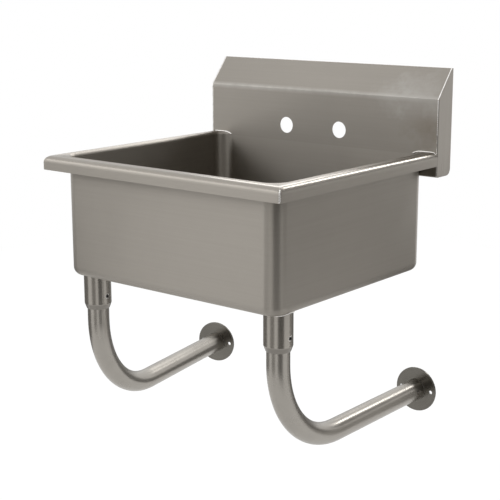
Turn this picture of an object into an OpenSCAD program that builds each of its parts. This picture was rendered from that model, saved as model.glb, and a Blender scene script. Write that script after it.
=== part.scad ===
// Wall-hung mop service sink: a coved bowl with a rolled rim, a hollow backsplash that hooks
// on a wall hanger, two bent tube supports with wall flanges, and a basket drain.
// Millimetres. +Z is up, the front faces -Y and the wall is the plane Y = 0.
// The origin is the middle of the wall hanger's back face.

/* [Sink] */
// Overall width
sink_w = 432; // [400:1:600]
// Overall depth, from the wall to the front of the rim
sink_d = 412; // [380:1:600]
// Thickness of the sheet
sheet_t = 1.2; // [1:0.1:2]

/* [Bowl] */
// Depth of the bowl, from the top of the rim to the foot of its walls
bowl_depth = 176; // [120:1:320]
// Inside radius of the upright corners
corner_r = 22; // [16:1:30]
// Inside radius between the walls and the floor
floor_r = 12; // [6:1:14]
// Fall of the floor from the walls to the drain
floor_fall = 4; // [1:0.5:8]

/* [Rim] */
// Width of the rim, from the bowl's inner wall to its outer face
rim_w = 22; // [20:1:40]
// Height of the rim's outer leg
rim_h = 20; // [16:1:40]
// Radius of the rim's outer shoulder
shoulder_r = 9; // [4:1:10]
// Radius of the roll from the rim down into the bowl
roll_r = 5; // [3:1:7]

/* [Backsplash] */
// Height above the top of the rim
splash_rise = 120; // [100:1:300]
// Depth, from the wall to the upright front
splash_d = 38; // [32:1:60]
// Height of the sloped top
slope_rise = 42; // [36:1:60]
// Depth of the flat ledge at the very top
ledge_d = 3; // [2.5:0.5:8]
// Reach below the rim's outer leg
skirt_h = 17; // [6:1:40]
// Outer radius of the folds
fold_r = 3; // [2.5:0.5:6]
// Depth of the return at the lower edge
return_d = 14; // [8:1:20]
// Height of the lip that hooks on the hanger
lip_h = 26; // [20:1:30]
// Radius of the end caps' lower back corner
cap_corner_r = 10; // [4:1:16]

/* [Tap holes] */
// Distance between the two holes
tap_spacing = 101.6; // [80:0.1:210]
// Diameter of each hole
tap_hole_d = 25.4; // [16:0.1:32]
// Height of the holes above the top of the rim
tap_rise = 20; // [18:0.5:50]
// Place of the pair along the backsplash, from its middle
tap_shift = -10; // [-30:1:30]

/* [Wall hanger] */
// Length of the hanger
hanger_w = 320; // [240:1:380]
// Thickness of the hanger's strip
hanger_t = 2; // [1.5:0.5:3]
// Height of the plate that lies on the wall
hanger_plate_h = 32; // [24:1:40]
// Height of the upstand that the lip drops behind
upstand_h = 14; // [8:1:16]
// Distance between the hanger's screw holes
hanger_hole_spacing = 260; // [160:1:300]
// Diameter of the hanger's screw holes
hanger_hole_d = 7; // [5:0.5:9]
// Gap between the lip and the upstand
hook_gap = 0.4; // [0.3:0.1:1]

/* [Supports] */
// Outside diameter of the support tubes
tube_d = 32; // [25:0.5:42]
// Wall of the support tubes
tube_wall = 1.5; // [1:0.1:3]
// Distance from the sink's side to the axis of the socket near it
socket_inset = 46; // [44:1:96]
// Distance from the sink's front to the sockets' axes
socket_setback = 57; // [50:1:112]
// Length of each socket below the bowl
socket_l = 53; // [46:1:57]
// Outside diameter of the sockets
socket_d = 40; // [36:0.5:50]
// Length of the taper at each socket's lower end
socket_taper_l = 8; // [4:1:14]
// Wall of the socket at the small end of the taper
socket_lip = 1; // [0.6:0.1:2]
// Radial clearance of the tube in its socket
socket_gap = 0.05; // [0.02:0.01:0.1]
// Depth of the tube inside its socket
tube_insert = 45; // [30:1:52]
// Drop from the bowl's underside to the axis of the level tube
tube_drop = 204; // [200:1:300]
// Centreline radius of the bend
bend_r = 132; // [70:1:150]
// Outward angle of the left support in its socket, in degrees, where 0 is square to the wall
angle_left = 11; // [-15:1:15]
// Outward angle of the right support in its socket, in degrees
angle_right = 0; // [-15:1:15]

/* [Set screws] */
// Diameter of the set screws
screw_d = 6; // [5:0.5:10]
// Height of the set screws above the sockets' lower ends
screw_rise = 20; // [16:1:26]
// Width of the hexagon socket across its flats
screw_hex = 3; // [2:0.5:5]
// How far a set screw stands out of its socket
screw_proud = 0.4; // [0.2:0.1:1.5]

/* [Wall flanges] */
// Diameter of the flanges
flange_d = 70; // [64:1:90]
// Thickness of the flanges
flange_t = 3; // [2:0.5:5]
// Distance between a flange's screw holes
flange_hole_spacing = 53; // [46:1:56]
// Diameter of a flange's screw holes
flange_hole_d = 6; // [4:0.5:7]

/* [Drain] */
// Distance of the drain behind the middle of the bowl
drain_back = 30; // [-60:1:60]
// Diameter of the drain body's flange
drain_flange_d = 112; // [106:1:116]
// Thickness of the drain body's flange
drain_flange_t = 2.4; // [2:0.1:3]
// Outside diameter of the drain body's cup
drain_cup_d = 87; // [84:0.5:90]
// Wall of the drain body
drain_wall = 1.6; // [1.2:0.1:2.5]
// Depth of the drain body's cup
drain_cup_h = 32; // [30:1:45]
// Outside diameter of the outlet
outlet_d = 47; // [44:0.5:50]
// Length of the outlet
outlet_l = 12; // [10:1:30]
// Radial gap between the drain cup and the hole in the floor
drain_gap = 1; // [0.5:0.1:2]
// Thickness of the rubber gasket
gasket_t = 3; // [2:0.5:5]
// Thickness of the fibre friction ring
friction_t = 1; // [0.5:0.1:2]
// Height of the lock nut
nut_h = 9; // [6:1:12]
// Number of lugs on the lock nut
nut_lugs = 6; // [4:1:8]

/* [Basket] */
// Depth of the basket
basket_h = 22; // [18:1:24]
// Thickness of the basket's sheet
basket_t = 1; // [0.8:0.1:1.5]
// Holes in the outer ring of the basket's floor
floor_holes = 14; // [8:1:16]
// Slots in the basket's side
side_slots = 16; // [8:1:20]
// Diameter of the holes in the basket's floor
basket_hole_d = 4; // [3:0.5:5]
// Width of the slots in the basket's side
slot_w = 2.5; // [2:0.5:3]
// Diameter of the stopper's post
post_d = 6; // [5:0.5:8]
// Diameter of the knob on the post
knob_d = 18; // [14:1:22]
// Height of the knob
knob_h = 8; // [6:1:9]
// Thickness of the rubber stopper
stopper_t = 4; // [3:0.5:5]
// Radial clearance of the post in the basket's hub
post_gap = 0.05; // [0.02:0.01:0.1]
// Gap between the rubber stopper and the drain's throat
soft_gap = 0.3; // [0.3:0.1:0.6]

/* [Hidden] */
$fn = 64;
LEFT = -1;
RIGHT = 1;
// Overrun of a cut past the face it goes through
cut = 1;
// Thickness of the flat ends that a hull joins
skin = 0.02;
// Length of the roll's thin ends that is left off at the backsplash
weld_gap = 6;

// Heights of the main levels
splash_top_z = hanger_plate_h / 2 + lip_h;
rim_z = splash_top_z - splash_rise;
floor_z = rim_z - bowl_depth;
under_z = floor_z - sheet_t;
roll_z = rim_z - roll_r;
splash_foot_z = rim_z - rim_h - skirt_h;
bend_z = splash_top_z - slope_rise;

// Inside of the bowl
bowl_w = sink_w - 2 * rim_w;
bowl_d = sink_d - splash_d - rim_w;
bowl_y = -splash_d - bowl_d / 2;

// Drain seat
drain_y = bowl_y + drain_back;
seat_clear = 2;
seat_r = drain_flange_d / 2 + seat_clear;
seat_depth = drain_flange_t + 0.6;
seat_z = floor_z - floor_fall - seat_depth;
drain_cup_r = drain_cup_d / 2;
drain_hole_r = drain_cup_r + drain_gap;
cup_floor_z = seat_z - drain_cup_h;
throat_h = 4;
throat_r = outlet_d / 2 - drain_wall;
throat_bevel = 3;
throat_top_r = throat_r + throat_bevel;
cup_bevel = 5;
flange_edge = 1;
outlet_z = cup_floor_z - throat_h - outlet_l;
seal_r = drain_flange_d / 2 - flange_edge;
gasket_z = seat_z - sheet_t - gasket_t;
friction_z = gasket_z - friction_t;
nut_r = drain_cup_r + 6;
nut_flange_t = 2;
lug_w = 6;

// Basket
ledge_r = drain_cup_r + 2;
ledge_z = seat_z + drain_flange_t - 1.4;
basket_rim_r = ledge_r - 0.6;
basket_top_r = drain_cup_r - drain_wall - 4;
basket_floor_r = basket_top_r - 5;
basket_floor_z = ledge_z - basket_h;
hub_r = post_d / 2 + 4;
hub_h = 5;
slot_rise = 6;
slot_top_gap = 5;
slot_reach = 20;
hole_ring_r = (hub_r + basket_floor_r) / 2;
clip_t = 1;
clip_gap = 0.3;
stopper_z = cup_floor_z + soft_gap;
stopper_r = throat_top_r - 1;
knob_z = basket_floor_z + basket_t + hub_h + clip_t + 1;
stem_nut_h = 4;
stem_nut_w = 10;
stem_tail = 1.5;

// Supports
socket_x = sink_w / 2 - socket_inset;
socket_y = sink_d - socket_setback;
socket_foot_z = under_z - socket_l;
socket_top_z = floor_z + floor_r;
tube_z = under_z - tube_drop;
tube_top_z = socket_foot_z + tube_insert;
tube_r = tube_d / 2;
socket_bore_r = tube_r + socket_gap;
screw_z = socket_foot_z + screw_rise;
screw_gap = 0.2;
thread_gap = 0.05;

// Arc of radius r that rounds the corner b between the points a and c
function unit(v) = v / norm(v);
function turn(a) = (a + 540) % 360 - 180;
function bearing(v) = atan2(v.y, v.x);
function corner(a, b, c, r, n = 8) =
  let (u = unit(a - b), w = unit(c - b), half = acos(u * w) / 2)
  let (middle = b + unit(u + w) * r / sin(half))
  let (from = bearing(b + u * r / tan(half) - middle))
  let (sweep = turn(bearing(b + w * r / tan(half) - middle) - from))
  [for (i = [0:n]) middle + r * [cos(from + sweep * i / n), sin(from + sweep * i / n)]];

// Flat rectangle with round corners
module round_rect(w, d, r) {
  square([w - 2 * r, d], center = true);
  square([w, d - 2 * r], center = true);
  for (x = [-1, 1], y = [-1, 1])
    translate([x * (w / 2 - r), y * (d / 2 - r)])
      circle(r);
}

// Block from z = 0 to h with upright corners of radius rc and a lower edge of radius rb
module pan(w, d, h, rc, rb) {
  rotate([90, 0, 0])
    linear_extrude(d - 2 * rc, center = true)
      trough(w, h, rb);
  rotate([90, 0, 90])
    linear_extrude(w - 2 * rc, center = true)
      trough(d, h, rb);
  for (i = [0:3])
    rotate([0, 0, 90 * i])
      translate([(i % 2 == 0 ? w : d) / 2 - rc, (i % 2 == 0 ? d : w) / 2 - rc, 0])
        rotate_extrude(angle = 90)
          pan_corner(h, rc, rb);
}

// Section of a trough of width w and height h with round lower corners
module trough(w, h, r) {
  translate([-w / 2, r])
    square([w, h - r]);
  translate([r - w / 2, 0])
    square([w - 2 * r, h]);
  for (x = [-1, 1])
    translate([x * (w / 2 - r), r])
      circle(r);
}

// Half section of a pan's upright corner
module pan_corner(h, rc, rb) {
  square([rc - rb, h]);
  translate([0, rb])
    square([rc, h - rb]);
  intersection() {
    translate([rc - rb, rb])
      circle(rb);
    square([rc, rb]);
  }
}

// The space inside the bowl's walls, grown outwards by k, up to the height top_z
module wall_space(k, top_z) {
  translate([0, bowl_y, floor_z - k])
    pan(bowl_w + 2 * k, bowl_d + 2 * k, top_z - floor_z + k, corner_r + k, floor_r + k);
}

// The whole hollow of the bowl, with the falling floor and the drain's seat
module bowl_space(k, top_z) {
  wall_space(k, top_z);
  translate([0, bowl_y, floor_z - k]) {
    hull() {
      linear_extrude(skin)
        round_rect(bowl_w - 2 * floor_r, bowl_d - 2 * floor_r, corner_r - floor_r, $fn = 24);
      translate([0, drain_back, -floor_fall])
        cylinder(r = seat_r + k, h = skin, $fn = 32);
    }
    translate([0, drain_back, -floor_fall - seat_depth])
      cylinder(r = seat_r + k, h = floor_fall + seat_depth + skin);
  }
}

// Rim block with square front corners and round shoulders, made smaller by k
module rim_block(k, over) {
  r = shoulder_r - k;
  l = sink_d - splash_d - k + over;
  h = rim_h - k + over;
  intersection() {
    translate([0, over - splash_d, rim_z - k])
      rotate([90, 0, 0])
        linear_extrude(l)
          rim_arch(sink_w - 2 * k, h, r);
    translate([-sink_w / 2, k - sink_d, rim_z - k])
      rotate([90, 0, 90])
        linear_extrude(sink_w)
          rim_front(l, h, r);
  }
}

// Section across the rim block, seen from the front
module rim_arch(w, h, r) {
  translate([-w / 2, -h])
    square([w, h - r]);
  translate([r - w / 2, -h])
    square([w - 2 * r, h]);
  for (x = [-1, 1])
    translate([x * (w / 2 - r), -r])
      circle(r);
}

// Section along the rim block, with its front at 0
module rim_front(l, h, r) {
  translate([0, -h])
    square([l, h - r]);
  translate([r, -h])
    square([l - r, h]);
  translate([r, -r])
    circle(r);
}

// Quarter ring that rolls the bowl's wall over into the rim, at the distance x from its axis
module roll_section(x) {
  translate([x + roll_r, -roll_r])
    intersection() {
      difference() {
        circle(roll_r);
        circle(roll_r - sheet_t);
      }
      translate([-roll_r, 0])
        square(roll_r);
    }
}

// The roll round the bowl's mouth
module roll() {
  long_x = bowl_w / 2 - corner_r;
  long_y = bowl_d / 2 - corner_r;
  translate([0, bowl_y, rim_z]) {
    translate([long_x, -bowl_d / 2, 0])
      rotate([90, 0, -90])
        linear_extrude(2 * long_x)
          roll_section(0);
    for (side = [LEFT, RIGHT])
      mirror([side < 0 ? 1 : 0, 0, 0]) {
        translate([bowl_w / 2, long_y, 0])
          rotate([90, 0, 0])
            linear_extrude(2 * long_y)
              roll_section(0);
        for (y = [-1, 1])
          translate([long_x, y * long_y, 0])
            rotate([0, 0, y < 0 ? -90 : 0])
              rotate_extrude(angle = 90)
                roll_section(corner_r);
      }
  }
}

// Everything in front of the backsplash's upright face
module before_splash() {
  translate([-sink_w, -2 * sink_d - splash_d, 2 * outlet_z])
    cube([2 * sink_w, 2 * sink_d, -4 * outlet_z]);
}

// Walls, floor and drain seat of the bowl, as a sheet
module bowl_shell() {
  difference() {
    bowl_space(sheet_t, roll_z);
    bowl_space(0, roll_z + cut);
    translate([0, drain_y, seat_z - sheet_t - cut])
      cylinder(r = drain_hole_r, h = sheet_t + 2 * cut);
  }
}

// Top and outer leg of the rim, as a sheet
module rim_sheet() {
  difference() {
    rim_block(0, 0);
    rim_block(sheet_t, cut);
    translate([0, bowl_y, rim_z - rim_h])
      linear_extrude(rim_h + cut)
        round_rect(bowl_w + 2 * roll_r, bowl_d + 2 * roll_r, corner_r + roll_r);
  }
}

module bowl() {
  color([0.60, 0.58, 0.55]) {
    bowl_shell();
    difference() {
      intersection() {
        before_splash();
        union() {
          rim_sheet();
          roll();
        }
      }
      translate([-bowl_w / 2 + corner_r - weld_gap, bowl_y, roll_z - cut])
        cube([bowl_w - 2 * corner_r + 2 * weld_gap, bowl_d, roll_r + 2 * cut]);
    }
  }
}

// Outline of the backsplash, inset by k: top ledge, slope, upright front and lower return
function splash_outline(k) =
  let (lean = atan2(slope_rise, splash_d - ledge_d))
  let (top_back = [cut, splash_top_z - k])
  let (top_front = [k * tan(lean / 2) - ledge_d, splash_top_z - k])
  let (bend = [k - splash_d, bend_z - k * tan(45 - lean / 2)])
  let (foot = [k - splash_d, splash_foot_z + k])
  let (foot_back = [cut, splash_foot_z + k])
  concat(
    [top_back],
    corner(top_back, top_front, bend, ledge_d / 2 - k / 4),
    corner(top_front, bend, foot, fold_r - k + sheet_t),
    corner(bend, foot, foot_back, fold_r - k),
    [foot_back]
  );

module backsplash() {
  w = sink_w - 2 * sheet_t;
  color([0.54, 0.52, 0.49])
    difference() {
      translate([-w / 2, 0, 0])
        rotate([90, 0, 90])
          linear_extrude(w)
            difference() {
              intersection() {
                polygon(splash_outline(0));
                translate([-splash_d, splash_foot_z])
                  square([splash_d, splash_top_z - splash_foot_z]);
              }
              difference() {
                polygon(splash_outline(sheet_t));
                translate([-sheet_t, splash_top_z - lip_h])
                  square([sheet_t + cut, lip_h]);
              }
              translate([return_d - splash_d, splash_foot_z - cut])
                square([splash_d, 2 * cut + sheet_t]);
            }
      wall_space(sheet_t, roll_z);
      for (x = [-1, 1])
        translate([tap_shift + x * tap_spacing / 2, cut - splash_d + sheet_t, rim_z + tap_rise])
          rotate([90, 0, 0])
            cylinder(d = tap_hole_d, h = sheet_t + 2 * cut);
    }
}

// Flat plate that closes an end of the backsplash
module end_cap(side) {
  lean = atan2(slope_rise, splash_d - ledge_d);
  top_back = [0, splash_top_z];
  top_front = [-ledge_d, splash_top_z];
  bend = [-splash_d, bend_z];
  foot = [-splash_d, splash_foot_z];
  foot_back = [0, splash_foot_z];
  color([0.58, 0.56, 0.53])
    translate([side * (sink_w - sheet_t) / 2, 0, 0])
      rotate([90, 0, 90])
        translate([0, 0, -sheet_t / 2])
          linear_extrude(sheet_t)
            polygon(concat(
              [top_back],
              corner(top_back, top_front, bend, ledge_d / 2),
              corner(top_front, bend, foot, fold_r + sheet_t),
              corner(bend, foot, foot_back, fold_r),
              corner(foot, foot_back, top_back, cap_corner_r)
            ));
}

// Joggled strip: a plate on the wall, a step out, and an upstand behind which the lip drops
module wall_hanger() {
  step_d = sheet_t + hook_gap + hanger_t;
  color([0.45, 0.46, 0.47])
    difference() {
      translate([-hanger_w / 2, 0, 0])
        rotate([90, 0, 90])
          linear_extrude(hanger_w) {
            translate([-hanger_t, -hanger_plate_h / 2])
              square([hanger_t, hanger_plate_h]);
            translate([-step_d, hanger_plate_h / 2 - hanger_t])
              square([step_d, hanger_t]);
            translate([-step_d, hanger_plate_h / 2 - hanger_t])
              square([hanger_t, hanger_t + upstand_h]);
          }
      for (x = [-1, 1])
        translate([x * hanger_hole_spacing / 2, cut, 0])
          rotate([90, 0, 0])
            cylinder(d = hanger_hole_d, h = hanger_t + 2 * cut);
    }
}

// Socket under a front corner, tapered at its foot and cut to the bowl's underside
module leg_socket(side) {
  color([0.55, 0.53, 0.50])
    difference() {
      translate([side * socket_x, -socket_y, 0])
        difference() {
          union() {
            translate([0, 0, socket_foot_z + socket_taper_l])
              cylinder(d = socket_d, h = socket_top_z - socket_foot_z - socket_taper_l);
            translate([0, 0, socket_foot_z])
              cylinder(r1 = socket_bore_r + socket_lip, r2 = socket_d / 2, h = socket_taper_l);
          }
          translate([0, 0, socket_foot_z - cut])
            cylinder(r = socket_bore_r, h = tube_insert + 2 * cut);
          translate([0, 0, screw_z])
            rotate([0, 90, 0])
              cylinder(r = screw_d / 2 + thread_gap, h = socket_d);
        }
      bowl_space(sheet_t, rim_z - roll_r);
    }
}

// Hex-socket screw, from its point near the tube to just outside the socket
module set_screw(side) {
  tip = tube_r + screw_gap;
  l = socket_d / 2 + screw_proud - tip;
  hex_depth = l * 0.5;
  color([0.20, 0.20, 0.21])
    translate([side * socket_x + tip, -socket_y, screw_z])
      rotate([0, 90, 0])
        difference() {
          cylinder(d = screw_d, h = l);
          translate([0, 0, l - hex_depth])
            cylinder(r = screw_hex / sqrt(3), h = hex_depth + cut, $fn = 6);
        }
}

// Places its children at a support: the origin on the socket's axis, +Y towards the wall
module at_support(side) {
  angle = side < 0 ? angle_left : -angle_right;
  translate([side * socket_x, -socket_y, 0])
    rotate([0, 0, angle])
      children();
}

// Upright leg, quarter bend and level run of a tube of radius r, longer by over at its ends
module tube_run(r, over) {
  level_l = socket_y - flange_t - bend_r;
  translate([0, 0, tube_z + bend_r])
    cylinder(r = r, h = tube_top_z - tube_z - bend_r + over);
  translate([0, bend_r, tube_z + bend_r])
    rotate([90, 0, -90])
      rotate_extrude(angle = -90)
        translate([bend_r, 0])
          circle(r);
  translate([0, bend_r, tube_z])
    rotate([-90, 0, 0])
      cylinder(r = r, h = level_l + over);
}

module support_tube(side) {
  color([0.62, 0.60, 0.57])
    at_support(side)
      difference() {
        tube_run(tube_r, 0);
        tube_run(tube_r - tube_wall, cut);
      }
}

// Round plate welded to the end of the level tube
module wall_flange(side) {
  color([0.35, 0.34, 0.32])
    at_support(side)
      translate([0, socket_y, tube_z])
        rotate([90, 0, 0])
          difference() {
            cylinder(d = flange_d, h = flange_t);
            translate([0, 0, -cut])
              cylinder(r = tube_r - tube_wall, h = flange_t + 2 * cut);
            for (x = [-1, 1])
              translate([x * flange_hole_spacing / 2, 0, -cut])
                cylinder(d = flange_hole_d, h = flange_t + 2 * cut);
          }
}

// Flanged cup with a seat for the basket, a bevelled throat and a threaded outlet
module strainer_body() {
  in_r = drain_cup_r - drain_wall;
  color([0.66, 0.65, 0.63])
    translate([0, drain_y, 0])
      rotate_extrude()
        polygon([
          [ledge_r, seat_z + drain_flange_t],
          [drain_flange_d / 2 - flange_edge, seat_z + drain_flange_t],
          [drain_flange_d / 2, seat_z + drain_flange_t - flange_edge],
          [drain_flange_d / 2, seat_z],
          [drain_cup_r, seat_z],
          [drain_cup_r, cup_floor_z + cup_bevel - flange_edge],
          [drain_cup_r - cup_bevel, cup_floor_z - drain_wall],
          [outlet_d / 2 + 1.5, cup_floor_z - drain_wall],
          [outlet_d / 2, cup_floor_z - throat_h],
          [outlet_d / 2, outlet_z],
          [throat_r, outlet_z],
          [throat_r, cup_floor_z - 2],
          [throat_top_r, cup_floor_z],
          [in_r - cup_bevel, cup_floor_z],
          [in_r, cup_floor_z + cup_bevel],
          [in_r, ledge_z],
          [ledge_r, ledge_z]
        ]);
}

// Flat ring round the drain cup, from the height z upwards
module drain_ring(outer_r, z, t) {
  translate([0, drain_y, z])
    difference() {
      cylinder(r = outer_r, h = t);
      translate([0, 0, -cut])
        cylinder(r = drain_cup_r + 0.1, h = t + 2 * cut);
    }
}

module drain_gasket() {
  color([0.12, 0.12, 0.12])
    drain_ring(seal_r, gasket_z, gasket_t);
}

module friction_ring() {
  color([0.62, 0.45, 0.30])
    drain_ring(seal_r, friction_z, friction_t);
}

module lock_nut() {
  color([0.72, 0.70, 0.66]) {
    drain_ring(seal_r, friction_z - nut_flange_t, nut_flange_t);
    drain_ring(nut_r, friction_z - nut_h, nut_h);
    for (i = [0:nut_lugs - 1])
      translate([0, drain_y, friction_z - nut_h])
        rotate([0, 0, i * 360 / nut_lugs])
          translate([nut_r - 1, -lug_w / 2, 0])
            cube([seal_r - nut_r + 1, lug_w, nut_h]);
  }
}

// Perforated cup with a flat rim and a hub for the post
module strainer_basket() {
  color([0.70, 0.69, 0.67])
    translate([0, drain_y, 0])
      difference() {
        union() {
          rotate_extrude()
            polygon([
              [basket_rim_r, ledge_z],
              [basket_rim_r, ledge_z + basket_t],
              [basket_top_r - basket_t, ledge_z + basket_t],
              [basket_floor_r - basket_t, basket_floor_z + basket_t],
              [0, basket_floor_z + basket_t],
              [0, basket_floor_z],
              [basket_floor_r, basket_floor_z],
              [basket_top_r, ledge_z]
            ]);
          translate([0, 0, basket_floor_z])
            cylinder(r = hub_r, h = basket_t + hub_h);
        }
        translate([0, 0, basket_floor_z - cut])
          cylinder(r = post_d / 2 + post_gap, h = basket_t + hub_h + 2 * cut);
        for (i = [0:floor_holes - 1])
          rotate([0, 0, i * 360 / floor_holes])
            translate([hole_ring_r + 5, 0, basket_floor_z - cut])
              cylinder(d = basket_hole_d, h = basket_t + 2 * cut);
        for (i = [0:floor_holes / 2 - 1])
          rotate([0, 0, i * 720 / floor_holes])
            translate([hole_ring_r - 3, 0, basket_floor_z - cut])
              cylinder(d = basket_hole_d, h = basket_t + 2 * cut);
        for (i = [0:side_slots - 1])
          rotate([0, 0, i * 360 / side_slots])
            translate([basket_floor_r - slot_rise, -slot_w / 2, basket_floor_z + slot_rise])
              cube([slot_reach, slot_w, basket_h - slot_rise - slot_top_gap]);
      }
}

// Split ring on the hub, which grips the post's waist
module post_clip() {
  color([0.75, 0.75, 0.76])
    translate([0, drain_y, basket_floor_z + basket_t + hub_h])
      difference() {
        cylinder(r = hub_r - 1, h = clip_t);
        translate([0, 0, -cut])
          cylinder(r = post_d / 2 + clip_gap, h = clip_t + 2 * cut);
        translate([0, -1, -cut])
          cube([hub_r, 2, clip_t + 2 * cut]);
      }
}

// Stem with a domed knob
module stopper_post() {
  foot_z = stopper_z - stem_nut_h - stem_tail;
  color([0.68, 0.67, 0.65])
    translate([0, drain_y, 0]) {
      translate([0, 0, foot_z])
        cylinder(d = post_d, h = knob_z - foot_z + 1);
      translate([0, 0, knob_z])
        rotate_extrude()
          polygon([
            [0, 0],
            [knob_d / 3, 0],
            [knob_d / 2 - 1, knob_h * 0.45],
            [knob_d / 2, knob_h * 0.6],
            [knob_d / 2 - 0.6, knob_h * 0.8],
            [knob_d / 2 - 2.5, knob_h * 0.95],
            [0, knob_h]
          ]);
    }
}

// Rubber disc with a bevelled edge
module basket_stopper() {
  color([0.10, 0.10, 0.10])
    translate([0, drain_y, stopper_z])
      difference() {
        union() {
          translate([0, 0, 1])
            cylinder(r = stopper_r, h = stopper_t - 1);
          cylinder(r1 = stopper_r - 1, r2 = stopper_r, h = 1);
        }
        translate([0, 0, -cut])
          cylinder(d = post_d, h = stopper_t + 2 * cut);
      }
}

module stem_nut() {
  color([0.74, 0.73, 0.70])
    translate([0, drain_y, stopper_z - stem_nut_h])
      difference() {
        cylinder(r = stem_nut_w / sqrt(3), h = stem_nut_h, $fn = 6);
        translate([0, 0, -cut])
          cylinder(d = post_d, h = stem_nut_h + 2 * cut);
      }
}

bowl();
backsplash();
end_cap(LEFT);  // end_cap_left
end_cap(RIGHT);  // end_cap_right
wall_hanger();
leg_socket(LEFT);  // leg_socket_left
leg_socket(RIGHT);  // leg_socket_right
set_screw(LEFT);  // set_screw_left
set_screw(RIGHT);  // set_screw_right
support_tube(LEFT);  // support_tube_left
support_tube(RIGHT);  // support_tube_right
wall_flange(LEFT);  // wall_flange_left
wall_flange(RIGHT);  // wall_flange_right
strainer_body();
drain_gasket();
friction_ring();
lock_nut();
strainer_basket();
post_clip();
stopper_post();
basket_stopper();
stem_nut();
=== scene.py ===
import logging
import math
from dataclasses import dataclass
from enum import Enum
from typing import Sequence

import bmesh
import bpy
from mathutils import Matrix, Vector
from mathutils.bvhtree import BVHTree


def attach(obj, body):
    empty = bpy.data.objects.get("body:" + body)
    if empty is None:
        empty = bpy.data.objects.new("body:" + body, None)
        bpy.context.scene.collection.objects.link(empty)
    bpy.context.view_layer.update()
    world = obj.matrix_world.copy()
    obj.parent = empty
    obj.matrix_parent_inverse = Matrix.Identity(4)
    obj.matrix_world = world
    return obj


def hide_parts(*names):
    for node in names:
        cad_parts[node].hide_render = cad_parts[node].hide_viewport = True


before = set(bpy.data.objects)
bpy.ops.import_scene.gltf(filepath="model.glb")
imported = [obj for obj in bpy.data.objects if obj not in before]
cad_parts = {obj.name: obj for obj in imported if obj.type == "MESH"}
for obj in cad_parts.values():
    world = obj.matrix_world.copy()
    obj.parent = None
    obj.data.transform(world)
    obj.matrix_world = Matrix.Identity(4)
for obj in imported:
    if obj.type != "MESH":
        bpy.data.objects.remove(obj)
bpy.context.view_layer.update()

LOG = logging.getLogger("sink")
MM = 0.001
Colour = tuple[float, float, float]
Point = tuple[float, float]
Corner = tuple[float, float, float]
Place = tuple[float, float, float]
Spot = tuple[float, float, float, float]


class Side(Enum):
    """Side of the sink, as seen from the front."""

    LEFT = -1
    RIGHT = 1

    @property
    def label(self) -> str:
        """The side's name as the CAD's nodes have it."""
        return self.name.lower()


class Grain(Enum):
    """Direction in which a sheet was brushed, on its own UV map."""

    ALONG_U = 0
    ALONG_V = 1


class Form(Enum):
    """Outline of one ring of a turned piece."""

    ROUND = 0
    HEXAGON = 1


Ring = Point | tuple[float, float, Form]

# Quarter turns that lay a piece's Z axis along X, and along Y
ACROSS = Matrix.Rotation(math.radians(90), 4, "Y")
BACKWARDS = Matrix.Rotation(math.radians(-90), 4, "X")


# ---------------------------------------------------------------- materials


class NodeTree:
    """A tree whose nodes are added one after another."""

    def __init__(self, tree: bpy.types.NodeTree) -> None:
        """Starts from a tree."""
        self.tree = tree

    def add(self, kind: str, inputs: dict[str | int, object] | None = None,
            **settings: object) -> bpy.types.Node:
        """Adds a node.

        Args:
            kind: Blender's name for the node's type.
            inputs: A value or a socket to link, for each input.
            settings: Properties of the node.

        Returns:
            The new node.
        """
        node = self.tree.nodes.new(kind)
        for key, value in settings.items():
            setattr(node, key, value)
        for key, value in (inputs or {}).items():
            self.put(node.inputs[key], value)
        return node

    def put(self, socket: bpy.types.NodeSocket, value: object) -> None:
        """Links a socket or sets its value.

        Args:
            socket: The input.
            value: A socket to link, or a plain value.
        """
        if isinstance(value, bpy.types.NodeSocket):
            self.tree.links.new(value, socket)
        else:
            socket.default_value = value

    def math(self, operation: str, a: object, b: object = 0.0) -> bpy.types.NodeSocket:
        """Result of one operation on one or two numbers."""
        return self.add("ShaderNodeMath", {0: a, 1: b}, operation=operation).outputs[0]


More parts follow.
